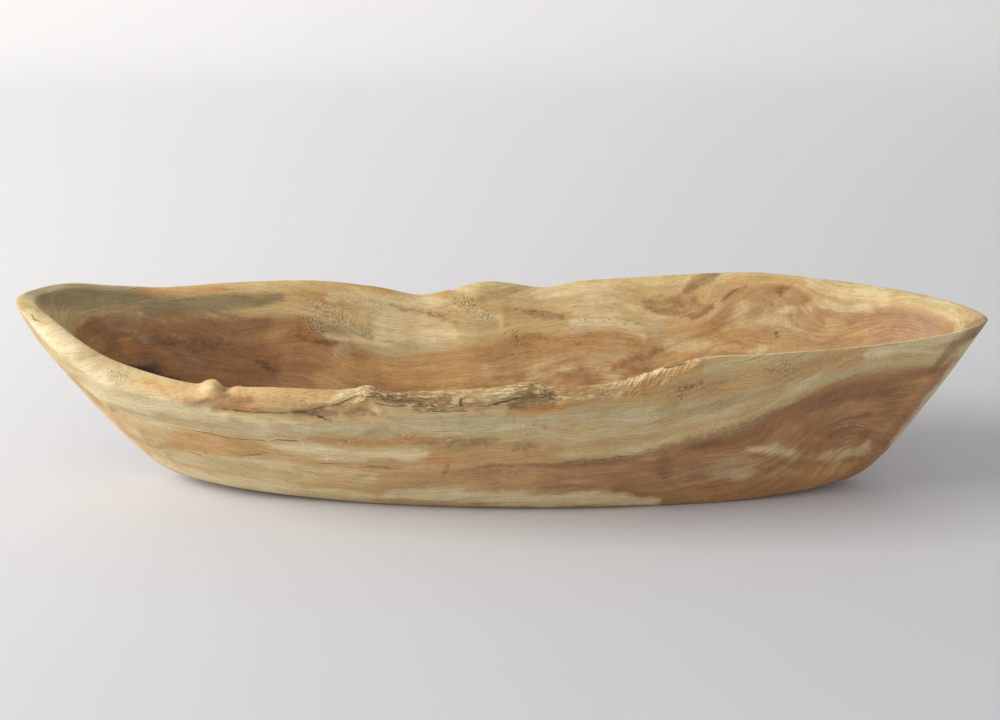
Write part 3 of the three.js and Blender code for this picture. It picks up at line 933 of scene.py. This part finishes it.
def build_bowl_mesh():
    skin = Skin()
    skin.build()
    mesh = new_mesh("bowl_skin", (skin.place * MM).tolist(), skin.quads().tolist())
    for name, values in wood_figure(skin).items():
        attribute = mesh.attributes.new(name, "FLOAT", "POINT")
        attribute.data.foreach_set("value", values.astype(np.float32))
    piece = new_object("carved_bowl", mesh)
    shape = bmesh.new()
    shape.from_mesh(mesh)
    bmesh.ops.remove_doubles(shape, verts=shape.verts, dist=MERGE_DISTANCE)
    shape.to_mesh(mesh)
    shape.free()
    smooth_faces(mesh)
    return piece


# Places of a colour mix's sockets
MIX_SHARE, MIX_FIRST, MIX_SECOND, MIX_COLOUR = 0, 6, 7, 2

# How rough the noises are that are longer one way than another
STRETCHED_ROUGHNESS = 0.55


class Wiring:
    """Adds nodes to a tree and joins them up."""

    def __init__(self, tree):
        self.tree = tree

    def node(self, kind, **settings):
        node = self.tree.nodes.new(kind)
        for name, value in settings.items():
            setattr(node, name, value)
        return node

    def feed(self, socket, value):
        if isinstance(value, bpy.types.NodeSocket):
            self.tree.links.new(value, socket)
        else:
            socket.default_value = value

    def maths(self, operation, first, second=0.0):
        node = self.node("ShaderNodeMath", operation=operation)
        self.feed(node.inputs[0], first)
        self.feed(node.inputs[1], second)
        return node.outputs[0]

    def product(self, first, *others):
        for other in others:
            first = self.maths("MULTIPLY", first, other)
        return first

    def total(self, first, *others):
        for other in others:
            first = self.maths("ADD", first, other)
        return first

    def swing(self, noise, size):
        """Noise turned into a value from about -size / 2 to size / 2."""
        return self.product(self.maths("SUBTRACT", noise, 0.5), size)

    def ramp(self, value, low, high, smooth=True):
        """0 below low, 1 above high."""
        node = self.node("ShaderNodeMapRange", clamp=True)
        node.interpolation_type = "SMOOTHSTEP" if smooth else "LINEAR"
        self.feed(node.inputs["Value"], value)
        self.feed(node.inputs["From Min"], low)
        self.feed(node.inputs["From Max"], high)
        return node.outputs["Result"]

    def rest(self, value):
        return self.maths("SUBTRACT", 1.0, value)

    def mix(self, share, first, second, blend="MIX"):
        node = self.node("ShaderNodeMix", data_type="RGBA", blend_type=blend)
        self.feed(node.inputs[MIX_SHARE], share)
        self.feed(node.inputs[MIX_FIRST], first)
        self.feed(node.inputs[MIX_SECOND], second)
        return node.outputs[MIX_COLOUR]

    def named(self, name):
        """A point's own number, inside geometry nodes."""
        node = self.node("GeometryNodeInputNamedAttribute", data_type="FLOAT")
        node.inputs["Name"].default_value = name
        return node.outputs["Attribute"]

    def split(self, vector):
        node = self.node("ShaderNodeSeparateXYZ")
        self.feed(node.inputs[0], vector)
        return node.outputs

    def vector(self, x, y, z):
        node = self.node("ShaderNodeCombineXYZ")
        for socket, value in zip(node.inputs, (x, y, z)):
            self.feed(socket, value)
        return node.outputs[0]

    def noise(self, vector, scale, detail, roughness=0.5):
        node = self.node("ShaderNodeTexNoise")
        self.feed(node.inputs["Vector"], vector)
        self.feed(node.inputs["Scale"], scale)
        self.feed(node.inputs["Detail"], detail)
        self.feed(node.inputs["Roughness"], roughness)
        return node.outputs[0]

    def stretched_noise(self, places, scales, detail=2.0):
        """Noise with its own scale along each of three directions."""
        scaled = [self.product(place, scale) for place, scale in zip(places, scales)]
        return self.noise(self.vector(*scaled), 1.0, detail, STRETCHED_ROUGHNESS)

    def colours(self, value, *stops):
        node = self.node("ShaderNodeValToRGB")
        self.feed(node.inputs[0], value)
        elements = node.color_ramp.elements
        while len(elements) < len(stops):
            elements.new(0.5)
        for element, (place, code) in zip(elements, stops):
            element.position = place
            element.color = hex_colour(code)
        return node.outputs[0]

    def attribute(self, name):
        return self.node("ShaderNodeAttribute", attribute_name=name).outputs["Fac"]

    def group(self, tree, **values):
        """A node group with its inputs set; a name's underscores stand for spaces."""
        node = self.node("ShaderNodeGroup", node_tree=tree)
        for name, value in values.items():
            self.feed(node.inputs[name.replace("_", " ").title()], value)
        return node.outputs[0]


# The tear's ridges lean back from upright by this angle
SLANT = math.radians(32)


def along_and_across_slant(wiring, along, up):
    """The two directions of the slanting ridges."""
    sine, cosine = math.sin(SLANT), math.cos(SLANT)
    lengthwise = wiring.total(wiring.product(along, sine), wiring.product(up, cosine))
    sideways = wiring.total(wiring.product(along, cosine), wiring.product(up, -sine))
    return lengthwise, sideways


def make_relief_tree():
    """Geometry nodes that cut the carved relief: gouge marks, torn edge and pitted patches."""
    tree = bpy.data.node_groups.new("carved_relief", "GeometryNodeTree")
    face = tree.interface
    face.new_socket("Geometry", in_out="INPUT", socket_type="NodeSocketGeometry")
    face.new_socket("Geometry", in_out="OUTPUT", socket_type="NodeSocketGeometry")
    sizes = {"Gouge Depth": 0.0011, "Gouge Size": 0.05, "Torn Depth": 0.0024, "Torn Length": 0.012,
             "Torn Thickness": 0.003, "Slant Depth": 0.002, "Pit Depth": 0.0007, "Pit Size": 0.004,
             "Seed": 3.0}
    for label, value in sizes.items():
        socket = face.new_socket(label, in_out="INPUT", socket_type="NodeSocketFloat")
        socket.default_value = value
    face.new_socket("Wood", in_out="INPUT", socket_type="NodeSocketMaterial")

    wiring = Wiring(tree)
    given = wiring.node("NodeGroupInput").outputs
    result = wiring.node("NodeGroupOutput").inputs
    x, y, z = wiring.split(wiring.node("GeometryNodeInputPosition").outputs[0])
    lengthwise, sideways = along_and_across_slant(wiring, x, z)

    def carve(places, sizes, depth, mask=1.0, detail=2.0):
        """Noise from -depth to depth where the mask is."""
        scaled = [wiring.maths("DIVIDE", place, size) for place, size in zip(places, sizes)]
        noise = wiring.node("ShaderNodeTexNoise", noise_dimensions="4D")
        wiring.feed(noise.inputs["Vector"], wiring.vector(*scaled))
        wiring.feed(noise.inputs["W"], given["Seed"])
        noise.inputs["Scale"].default_value = 1.0
        noise.inputs["Detail"].default_value = detail
        return wiring.product(wiring.swing(noise.outputs[0], 2.0), depth, mask)

    gouge, thin, pit = given["Gouge Size"], given["Torn Thickness"], given["Pit Size"]
    long = given["Torn Length"]
    gouges = carve((x, y, z), (gouge, gouge, gouge), given["Gouge Depth"])
    torn = carve((x, y, z), (long, thin, thin), given["Torn Depth"], wiring.named("torn"), detail=3.0)
    slant_depth = given["Slant Depth"]
    ridges = carve((lengthwise, y, sideways), (long, long, thin), slant_depth, wiring.named("slanted"))
    pits = carve((x, y, z), (pit, pit, pit), given["Pit Depth"], wiring.named("pitted"))
    rise = wiring.total(gouges, torn, ridges, pits, wiring.named("rise"))
    rise = wiring.product(rise, wiring.named("off_ground"))

    offset = wiring.node("ShaderNodeVectorMath", operation="SCALE")
    wiring.feed(offset.inputs[0], wiring.node("GeometryNodeInputNormal").outputs[0])
    wiring.feed(offset.inputs["Scale"], rise)
    moved = wiring.node("GeometryNodeSetPosition")
    wiring.feed(moved.inputs["Geometry"], given["Geometry"])
    wiring.feed(moved.inputs["Offset"], offset.outputs[0])
    real = wiring.node("GeometryNodeRealizeInstances")
    wiring.feed(real.inputs["Geometry"], moved.outputs[0])
    dressed = wiring.node("GeometryNodeSetMaterial")
    wiring.feed(dressed.inputs["Geometry"], real.outputs[0])
    wiring.feed(dressed.inputs["Material"], given["Wood"])
    wiring.feed(result["Geometry"], dressed.outputs[0])
    return tree


def set_input(modifier, label, value):
    for item in modifier.node_group.interface.items_tree:
        if item.name == label and item.in_out == "INPUT":
            modifier[item.identifier] = value


def carve_relief(piece, material):
    """Runs the relief nodes and keeps their result as a plain mesh."""
    modifier = piece.modifiers.new("relief", "NODES")
    modifier.node_group = make_relief_tree()
    set_input(modifier, "Wood", material)
    depsgraph = bpy.context.evaluated_depsgraph_get()
    carved = bpy.data.meshes.new_from_object(
        piece.evaluated_get(depsgraph), preserve_all_data_layers=True, depsgraph=depsgraph)
    piece.modifiers.remove(modifier)
    piece.data = carved


def new_group(name, output, **inputs):
    """A shader node group with one output; a name's underscores stand for spaces."""
    tree = bpy.data.node_groups.new(name, "ShaderNodeTree")
    for label, value in inputs.items():
        kind = "NodeSocketVector" if isinstance(value, tuple) else "NodeSocketFloat"
        label = label.replace("_", " ").title()
        tree.interface.new_socket(label, in_out="INPUT", socket_type=kind).default_value = value
    tree.interface.new_socket(output, in_out="OUTPUT", socket_type="NodeSocketFloat")
    wiring = Wiring(tree)
    return tree, wiring, wiring.node("NodeGroupInput").outputs, wiring.node("NodeGroupOutput").inputs[0]


def make_streaks_group():
    """Streaks that run with the fibres: long along X, thin across the rings."""
    tree, wiring, given, result = new_group(
        "wood_streaks", "Streaks",
        along=0.0, ring=0.0, round=0.0, length=0.1, thickness=0.004, spread=0.02)
    sizes = {"Along": "Length", "Ring": "Thickness", "Round": "Spread"}
    scaled = [wiring.maths("DIVIDE", given[place], given[size]) for place, size in sizes.items()]
    wiring.feed(result, wiring.noise(wiring.vector(*scaled), 1.0, 3.0, STRETCHED_ROUGHNESS))
    return tree


def make_mark_group():
    """A mark whose strength wanders with the streaks and the clouds."""
    tree, wiring, given, result = new_group(
        "soft_mark", "Share", mask=0.0, streaks=0.5, cloud=0.5, breakup=1.0)
    wander = wiring.total(wiring.swing(given["Streaks"], 0.6), wiring.swing(given["Cloud"], 1.2))
    wander = wiring.product(wander, given["Breakup"], wiring.ramp(given["Mask"], 0.0, 0.3))
    wiring.feed(result, wiring.ramp(wiring.total(given["Mask"], wander), 0.15, 0.85))
    return tree


def make_line_group():
    """A thin line, thinner where it is weaker."""
    tree, wiring, given, result = new_group(
        "thin_line", "Line", off=1.0, near=0.0, width=0.0005, wobble=0.0)
    off = wiring.maths("ABSOLUTE", wiring.total(given["Off"], given["Wobble"]))
    width = wiring.maths("MAXIMUM", wiring.product(given["Near"], given["Width"]), 0.00001)
    inside = wiring.rest(wiring.ramp(wiring.maths("DIVIDE", off, width), 0.5, 1.2))
    wiring.feed(result, wiring.product(inside, wiring.ramp(given["Near"], 0.0, 0.5)))
    return tree


def new_material(name):
    material = bpy.data.materials.new(name)
    material.use_nodes = True
    return material, Wiring(material.node_tree), material.node_tree.nodes["Principled BSDF"].inputs


# Waves per metre of the wood's noises; three numbers are along, across and up
SLOW_WANDER = (8.0, 18.0, 18.0)
QUICK_WANDER = (26.0, 60.0, 60.0)
CLOUDS = 34.0
GRIT = 190.0
FIBRES = (160.0, 900.0, 900.0)
RAGS = (150.0, 640.0, 640.0)
SLANTS = (90.0, 90.0, 560.0)
CHATTER = (420.0, 30.0, 30.0)
BREAKS = 120.0
SPECKS = 640.0
RINGS = 280.0

# How strongly each layer shows
TORN_SHARE = 0.65
SLANTED_SHARE = 0.7
RAG_SHARE = 0.6
RING_LINE_SHARE = 0.35
RING_SHADE_SHARE = 0.16
DARK_HAIR_SHARE = 0.4
PALE_HAIR_SHARE = 0.15
FINE_SHARE = 0.5
FIBRE_SHARE = 0.45
CRACK_AND_SHADE_SHARE = 0.7
PALE_LINE_SHARE = 0.35
PIT_SHARE = 0.45
GRAIN_SHARE = 0.5

# Widths of the thin lines, and how far they wobble, in metres
CRACK_AND_SHADE_WIDTH = 0.0007
PALE_LINE_WIDTH = 0.0009
LINE_WOBBLE = 0.003

# Heights of the layers in the fine bump, as shares of its distance in metres
FINE_HEIGHT = 0.12
FIBRE_HEIGHT = 0.1
CRACK_AND_SHADE_HEIGHT = -0.9
PIT_HEIGHT = -0.6
GRAIN_HEIGHT = 0.4
TORN_HEIGHT = 0.7
BUMP_STRENGTH = 0.8
BUMP_DISTANCE = 0.001


def make_wood():
    material, wiring, surface = new_material("carved_wood")
    position = wiring.node("ShaderNodeTexCoord").outputs["Object"]
    places = along, across, up = wiring.split(position)

    # Rings wander a little from their ideal place
    slow = wiring.stretched_noise(places, SLOW_WANDER)
    quick = wiring.stretched_noise(places, QUICK_WANDER)
    ring = wiring.total(wiring.attribute("ring"), wiring.swing(slow, 0.014), wiring.swing(quick, 0.005))
    around = wiring.attribute("round")
    cloud = wiring.noise(position, CLOUDS, 4.0, 0.6)
    grit = wiring.noise(position, GRIT, 4.0, 0.65)

    # Streaks of four sizes: length, thickness across the rings and spread round them, in metres
    streaks_group = make_streaks_group()

    def streaks(length, thickness, spread):
        return wiring.group(streaks_group, along=along, ring=ring, round=around,
                            length=length, thickness=thickness, spread=spread)

    broad = streaks(0.09, 0.010, 0.05)
    middle = streaks(0.035, 0.004, 0.02)
    fine = streaks(0.018, 0.0011, 0.006)
    hairs = streaks(0.06, 0.0013, 0.014)
    fibres = wiring.stretched_noise(places, FIBRES)

    # Every colour has three shades, and the tone picks among them
    tone = wiring.total(
        0.5, wiring.swing(broad, 0.36), wiring.swing(middle, 0.2), wiring.swing(cloud, 0.38))

    def shades(light, middling, dark):
        return wiring.colours(tone, (0.37, dark), (0.5, middling), (0.63, light))

    # Heartwood has a soft edge
    edge = wiring.total(ring, wiring.swing(middle, 0.012), wiring.swing(cloud, 0.01))
    in_heart = wiring.product(wiring.ramp(edge, -0.005, 0.006), wiring.attribute("brown"))
    colour = wiring.mix(
        in_heart, shades("#e3d09f", "#d1b884", "#be9f6b"), shades("#c39866", "#a97b4e", "#926640"))

    # Marks are laid over it one after another
    mark_group = make_mark_group()

    def lay(colour, name, strength, light, middling, dark, ragged=cloud):
        share = wiring.group(mark_group, mask=wiring.attribute(name), streaks=middle, cloud=ragged)
        return wiring.mix(wiring.product(share, strength), colour, shades(light, middling, dark))

    colour = lay(colour, "tan", 0.75, "#d7b078", "#c69d65", "#b28751")
    colour = lay(colour, "grey", 0.65, "#d5c8a6", "#c4b692", "#ae9e7b")
    # Pale marks, with the painted highlight on the right of the front rim's crest
    colour = lay(colour, "pale", 0.75, "#f2e4bc", "#e8d7aa", "#d8c291")

    # The torn edge: fibres along it, slanting ridges near its right end, pale with painted shade between
    # them
    torn, slanted = wiring.attribute("torn"), wiring.attribute("slanted")
    rags = wiring.ramp(wiring.stretched_noise(places, RAGS, 4.0), 0.38, 0.62)
    lengthwise, sideways = along_and_across_slant(wiring, along, up)
    slants = wiring.stretched_noise((lengthwise, across, sideways), SLANTS, 3.0)
    slants = wiring.ramp(slants, 0.38, 0.6)
    rag_colour = wiring.mix(rags, hex_colour("#a47d4a"), hex_colour("#e2cf9c"))
    colour = wiring.mix(wiring.product(torn, TORN_SHARE), colour, rag_colour)
    # Slanting ridges: pale where they stand up, brown painted shade in the hollows between them
    slant_colour = wiring.mix(slants, hex_colour("#b2834c"), hex_colour("#ead8a6"))
    colour = wiring.mix(wiring.product(slanted, SLANTED_SHARE), colour, slant_colour)

    colour = lay(colour, "olive", 0.8, "#a39572", "#8f815d", "#7b6e4c", hairs)
    colour = lay(colour, "umber", 0.7, "#a0734a", "#8b603b", "#775030", grit)
    colour = lay(colour, "orange", 0.6, "#d9a25e", "#c78b46", "#b37636")
    colour = lay(colour, "dark", 0.8, "#6f4a2c", "#52341d", "#382212", grit)
    # Near-black painted shade standing in for a hole in the inside wall
    colour = lay(colour, "hole_shade", 0.9, "#2c1c10", "#1f130a", "#160d07")
    rag_shade = wiring.mix(rags, hex_colour("#b08d5c"), hex_colour("#ffffff"))
    colour = wiring.mix(wiring.product(torn, RAG_SHARE), colour, rag_shade, "MULTIPLY")

    # Growth rings show as thin lines in places
    ringy = wiring.attribute("ringy")
    saw = wiring.maths("PINGPONG", wiring.product(ring, RINGS), 0.5)
    ring_line = wiring.rest(wiring.ramp(saw, 0.0, 0.14))
    ring_line = wiring.product(ring_line, ringy, wiring.ramp(cloud, 0.35, 0.6), RING_LINE_SHARE)
    colour = wiring.mix(ring_line, colour, hex_colour("#ead5a6"))
    ring_shade = wiring.product(wiring.ramp(saw, 0.25, 0.5), ringy, RING_SHADE_SHARE)
    colour = wiring.mix(ring_shade, colour, hex_colour("#8a5f3a"))

    # Hair lines along the grain, in groups
    grouped = wiring.ramp(wiring.total(wiring.swing(broad, 1.0), cloud), 0.4, 0.65)
    dark_hairs = wiring.rest(wiring.ramp(hairs, 0.34, 0.42))
    dark_hairs = wiring.product(dark_hairs, grouped, DARK_HAIR_SHARE)
    colour = wiring.mix(dark_hairs, colour, hex_colour("#c4a27a"), "MULTIPLY")
    pale_hairs = wiring.ramp(hairs, 0.6, 0.68)
    pale_hairs = wiring.product(pale_hairs, wiring.rest(grouped), PALE_HAIR_SHARE)
    colour = wiring.mix(pale_hairs, colour, hex_colour("#ead9ae"))

    # Fine fibres, and the faint chatter of the blade across them
    fine_shade = wiring.colours(fine, (0.34, "#dcd4c8"), (0.6, "#ffffff"))
    colour = wiring.mix(FINE_SHARE, colour, fine_shade, "MULTIPLY")
    fibre_shade = wiring.colours(fibres, (0.3, "#c9bfb0"), (0.5, "#ffffff"))
    colour = wiring.mix(FIBRE_SHARE, colour, fibre_shade, "MULTIPLY")
    chatter = wiring.stretched_noise(places, CHATTER)
    chatter_shade = wiring.colours(chatter, (0.35, "#f0ece4"), (0.6, "#ffffff"))
    colour = wiring.mix(wiring.ramp(cloud, 0.5, 0.75), colour, chatter_shade, "MULTIPLY")

    # Cracks and painted shade lines, and thin pale lines, broken here and there
    line_group = make_line_group()
    wobble = wiring.swing(grit, LINE_WOBBLE)
    unbroken = wiring.ramp(wiring.noise(position, BREAKS, 2.0), 0.36, 0.52)

    def thin_line(name, width):
        near = wiring.product(wiring.attribute(name + "_near"), unbroken)
        return wiring.group(
            line_group, off=wiring.attribute(name + "_off"), near=near, width=width, wobble=wobble)

    cracks_and_shade = thin_line("crack_and_shade", CRACK_AND_SHADE_WIDTH)
    # Dark lines: real cracks, and on the front painted shade and shadow by the torn edge
    colour = wiring.mix(wiring.product(cracks_and_shade, CRACK_AND_SHADE_SHARE), colour, hex_colour("#4b2f1b"))
    pale_lines = wiring.product(thin_line("pale_line", PALE_LINE_WIDTH), PALE_LINE_SHARE)
    colour = wiring.mix(pale_lines, colour, hex_colour("#e8d2a6"))

    # Pitted patches are light and dark specks
    specks = wiring.noise(position, SPECKS, 2.0)
    pitted = wiring.group(
        mark_group, mask=wiring.attribute("pitted"), streaks=middle, cloud=grit, breakup=2.0)
    pits = wiring.product(wiring.rest(wiring.ramp(specks, 0.36, 0.48)), pitted)
    grains = wiring.product(wiring.ramp(specks, 0.54, 0.64), pitted)
    colour = wiring.mix(wiring.product(pits, PIT_SHARE), colour, hex_colour("#6f4c2b"))
    colour = wiring.mix(wiring.product(grains, GRAIN_SHARE), colour, hex_colour("#ecdaa8"))

    wiring.feed(surface["Base Color"], colour)
    wiring.feed(surface["Roughness"], wiring.total(0.52, wiring.swing(fine, 0.2)))

    layers = ((FINE_HEIGHT, fine), (FIBRE_HEIGHT, fibres), (CRACK_AND_SHADE_HEIGHT, cracks_and_shade), (PIT_HEIGHT, pits),
              (GRAIN_HEIGHT, grains), (TORN_HEIGHT, rags, torn), (TORN_HEIGHT, slants, slanted))
    relief = wiring.node("ShaderNodeBump")
    relief.inputs["Strength"].default_value = BUMP_STRENGTH
    relief.inputs["Distance"].default_value = BUMP_DISTANCE
    wiring.feed(relief.inputs["Height"], wiring.total(*(wiring.product(*layer) for layer in layers)))
    wiring.feed(surface["Normal"], relief.outputs[0])
    return material


bowl = build_bowl_mesh()
carve_relief(bowl, make_wood())
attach(bowl, "root")
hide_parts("bowl")


# Camera
VIEW_HALF_ANGLE = math.radians(17)
VIEW_ELEVATION = math.radians(20)
VIEW_DISTANCE = 1.36
VIEW_TARGET = Vector((0, 0, 0.109))
SENSOR_WIDTH = 36

camera_data = bpy.data.cameras.new("camera")
camera_data.sensor_width = SENSOR_WIDTH
camera_data.lens = SENSOR_WIDTH / 2 / math.tan(VIEW_HALF_ANGLE)
camera = new_object("camera", camera_data)
back_off = Vector((0, -math.cos(VIEW_ELEVATION), math.sin(VIEW_ELEVATION)))
camera.location = VIEW_TARGET + back_off * VIEW_DISTANCE
camera.rotation_euler = (math.pi / 2 - VIEW_ELEVATION, 0, 0)
bpy.context.scene.camera = camera

LAMP_TARGET = Vector((0, 0, 0.05))


def add_lamp(name, place, size, power, colour):
    data = bpy.data.lights.new(name, "AREA")
    data.shape = "SQUARE"
    data.size = size
    data.energy = power
    data.color = hex_colour(colour)[:3]
    lamp = new_object(name, data)
    lamp.location = place
    lamp.rotation_euler = (LAMP_TARGET - Vector(place)).to_track_quat("-Z", "Y").to_euler()


add_lamp("window_light", (-2.5, -0.55, 1.5), size=1.5, power=94, colour="#fffaf2")
add_lamp("room_light", (0.5, -2.2, 0.6), size=1.6, power=7.5, colour="#ffffff")

# The floor runs back to a bend and sweeps up into the backdrop; it is painted paler towards the back,
# painted light for the brighter light there
FLOOR_REACH = 5.0
FLOOR_FRONT = -5.0
FLOOR_BEND = 1.8
BEND_RADIUS = 0.5
BEND_STEPS = 12
BACKDROP_TOP = 3.0
PALER_FROM = -0.5
PALER_TO = 2.0


def add_floor():
    profile = [(FLOOR_FRONT, 0), (FLOOR_BEND, 0)]
    for turn in np.linspace(0, math.pi / 2, BEND_STEPS + 1)[1:]:
        back, up = math.sin(turn), 1 - math.cos(turn)
        profile.append((FLOOR_BEND + BEND_RADIUS * back, BEND_RADIUS * up))
    profile.append((FLOOR_BEND + BEND_RADIUS, BACKDROP_TOP))
    places = [(x, y, z) for y, z in profile for x in (-FLOOR_REACH, FLOOR_REACH)]
    faces = [(2 * i, 2 * i + 1, 2 * i + 3, 2 * i + 2) for i in range(len(profile) - 1)]
    mesh = new_mesh("floor", places, faces)
    smooth_faces(mesh)
    material, wiring, surface = new_material("pale_floor")
    _, y, _ = wiring.split(wiring.node("ShaderNodeTexCoord").outputs["Object"])
    # Painted light: darker at the front, paler towards the back
    backwards = wiring.ramp(y, PALER_FROM, PALER_TO, smooth=False)
    paler = wiring.mix(backwards, hex_colour("#c6c8d0"), hex_colour("#f0f1f4"))
    wiring.feed(surface["Base Color"], paler)
    surface["Roughness"].default_value = 0.9
    mesh.materials.append(material)
    new_object("floor", mesh)


add_floor()

ROOM_BRIGHTNESS = 0.56
world = bpy.data.worlds.new("room")
bpy.context.scene.world = world
world.use_nodes = True
room = world.node_tree.nodes["Background"].inputs
room["Color"].default_value = hex_colour("#f0eee9")
room["Strength"].default_value = ROOM_BRIGHTNESS

bpy.context.scene.view_settings.view_transform = "Standard"
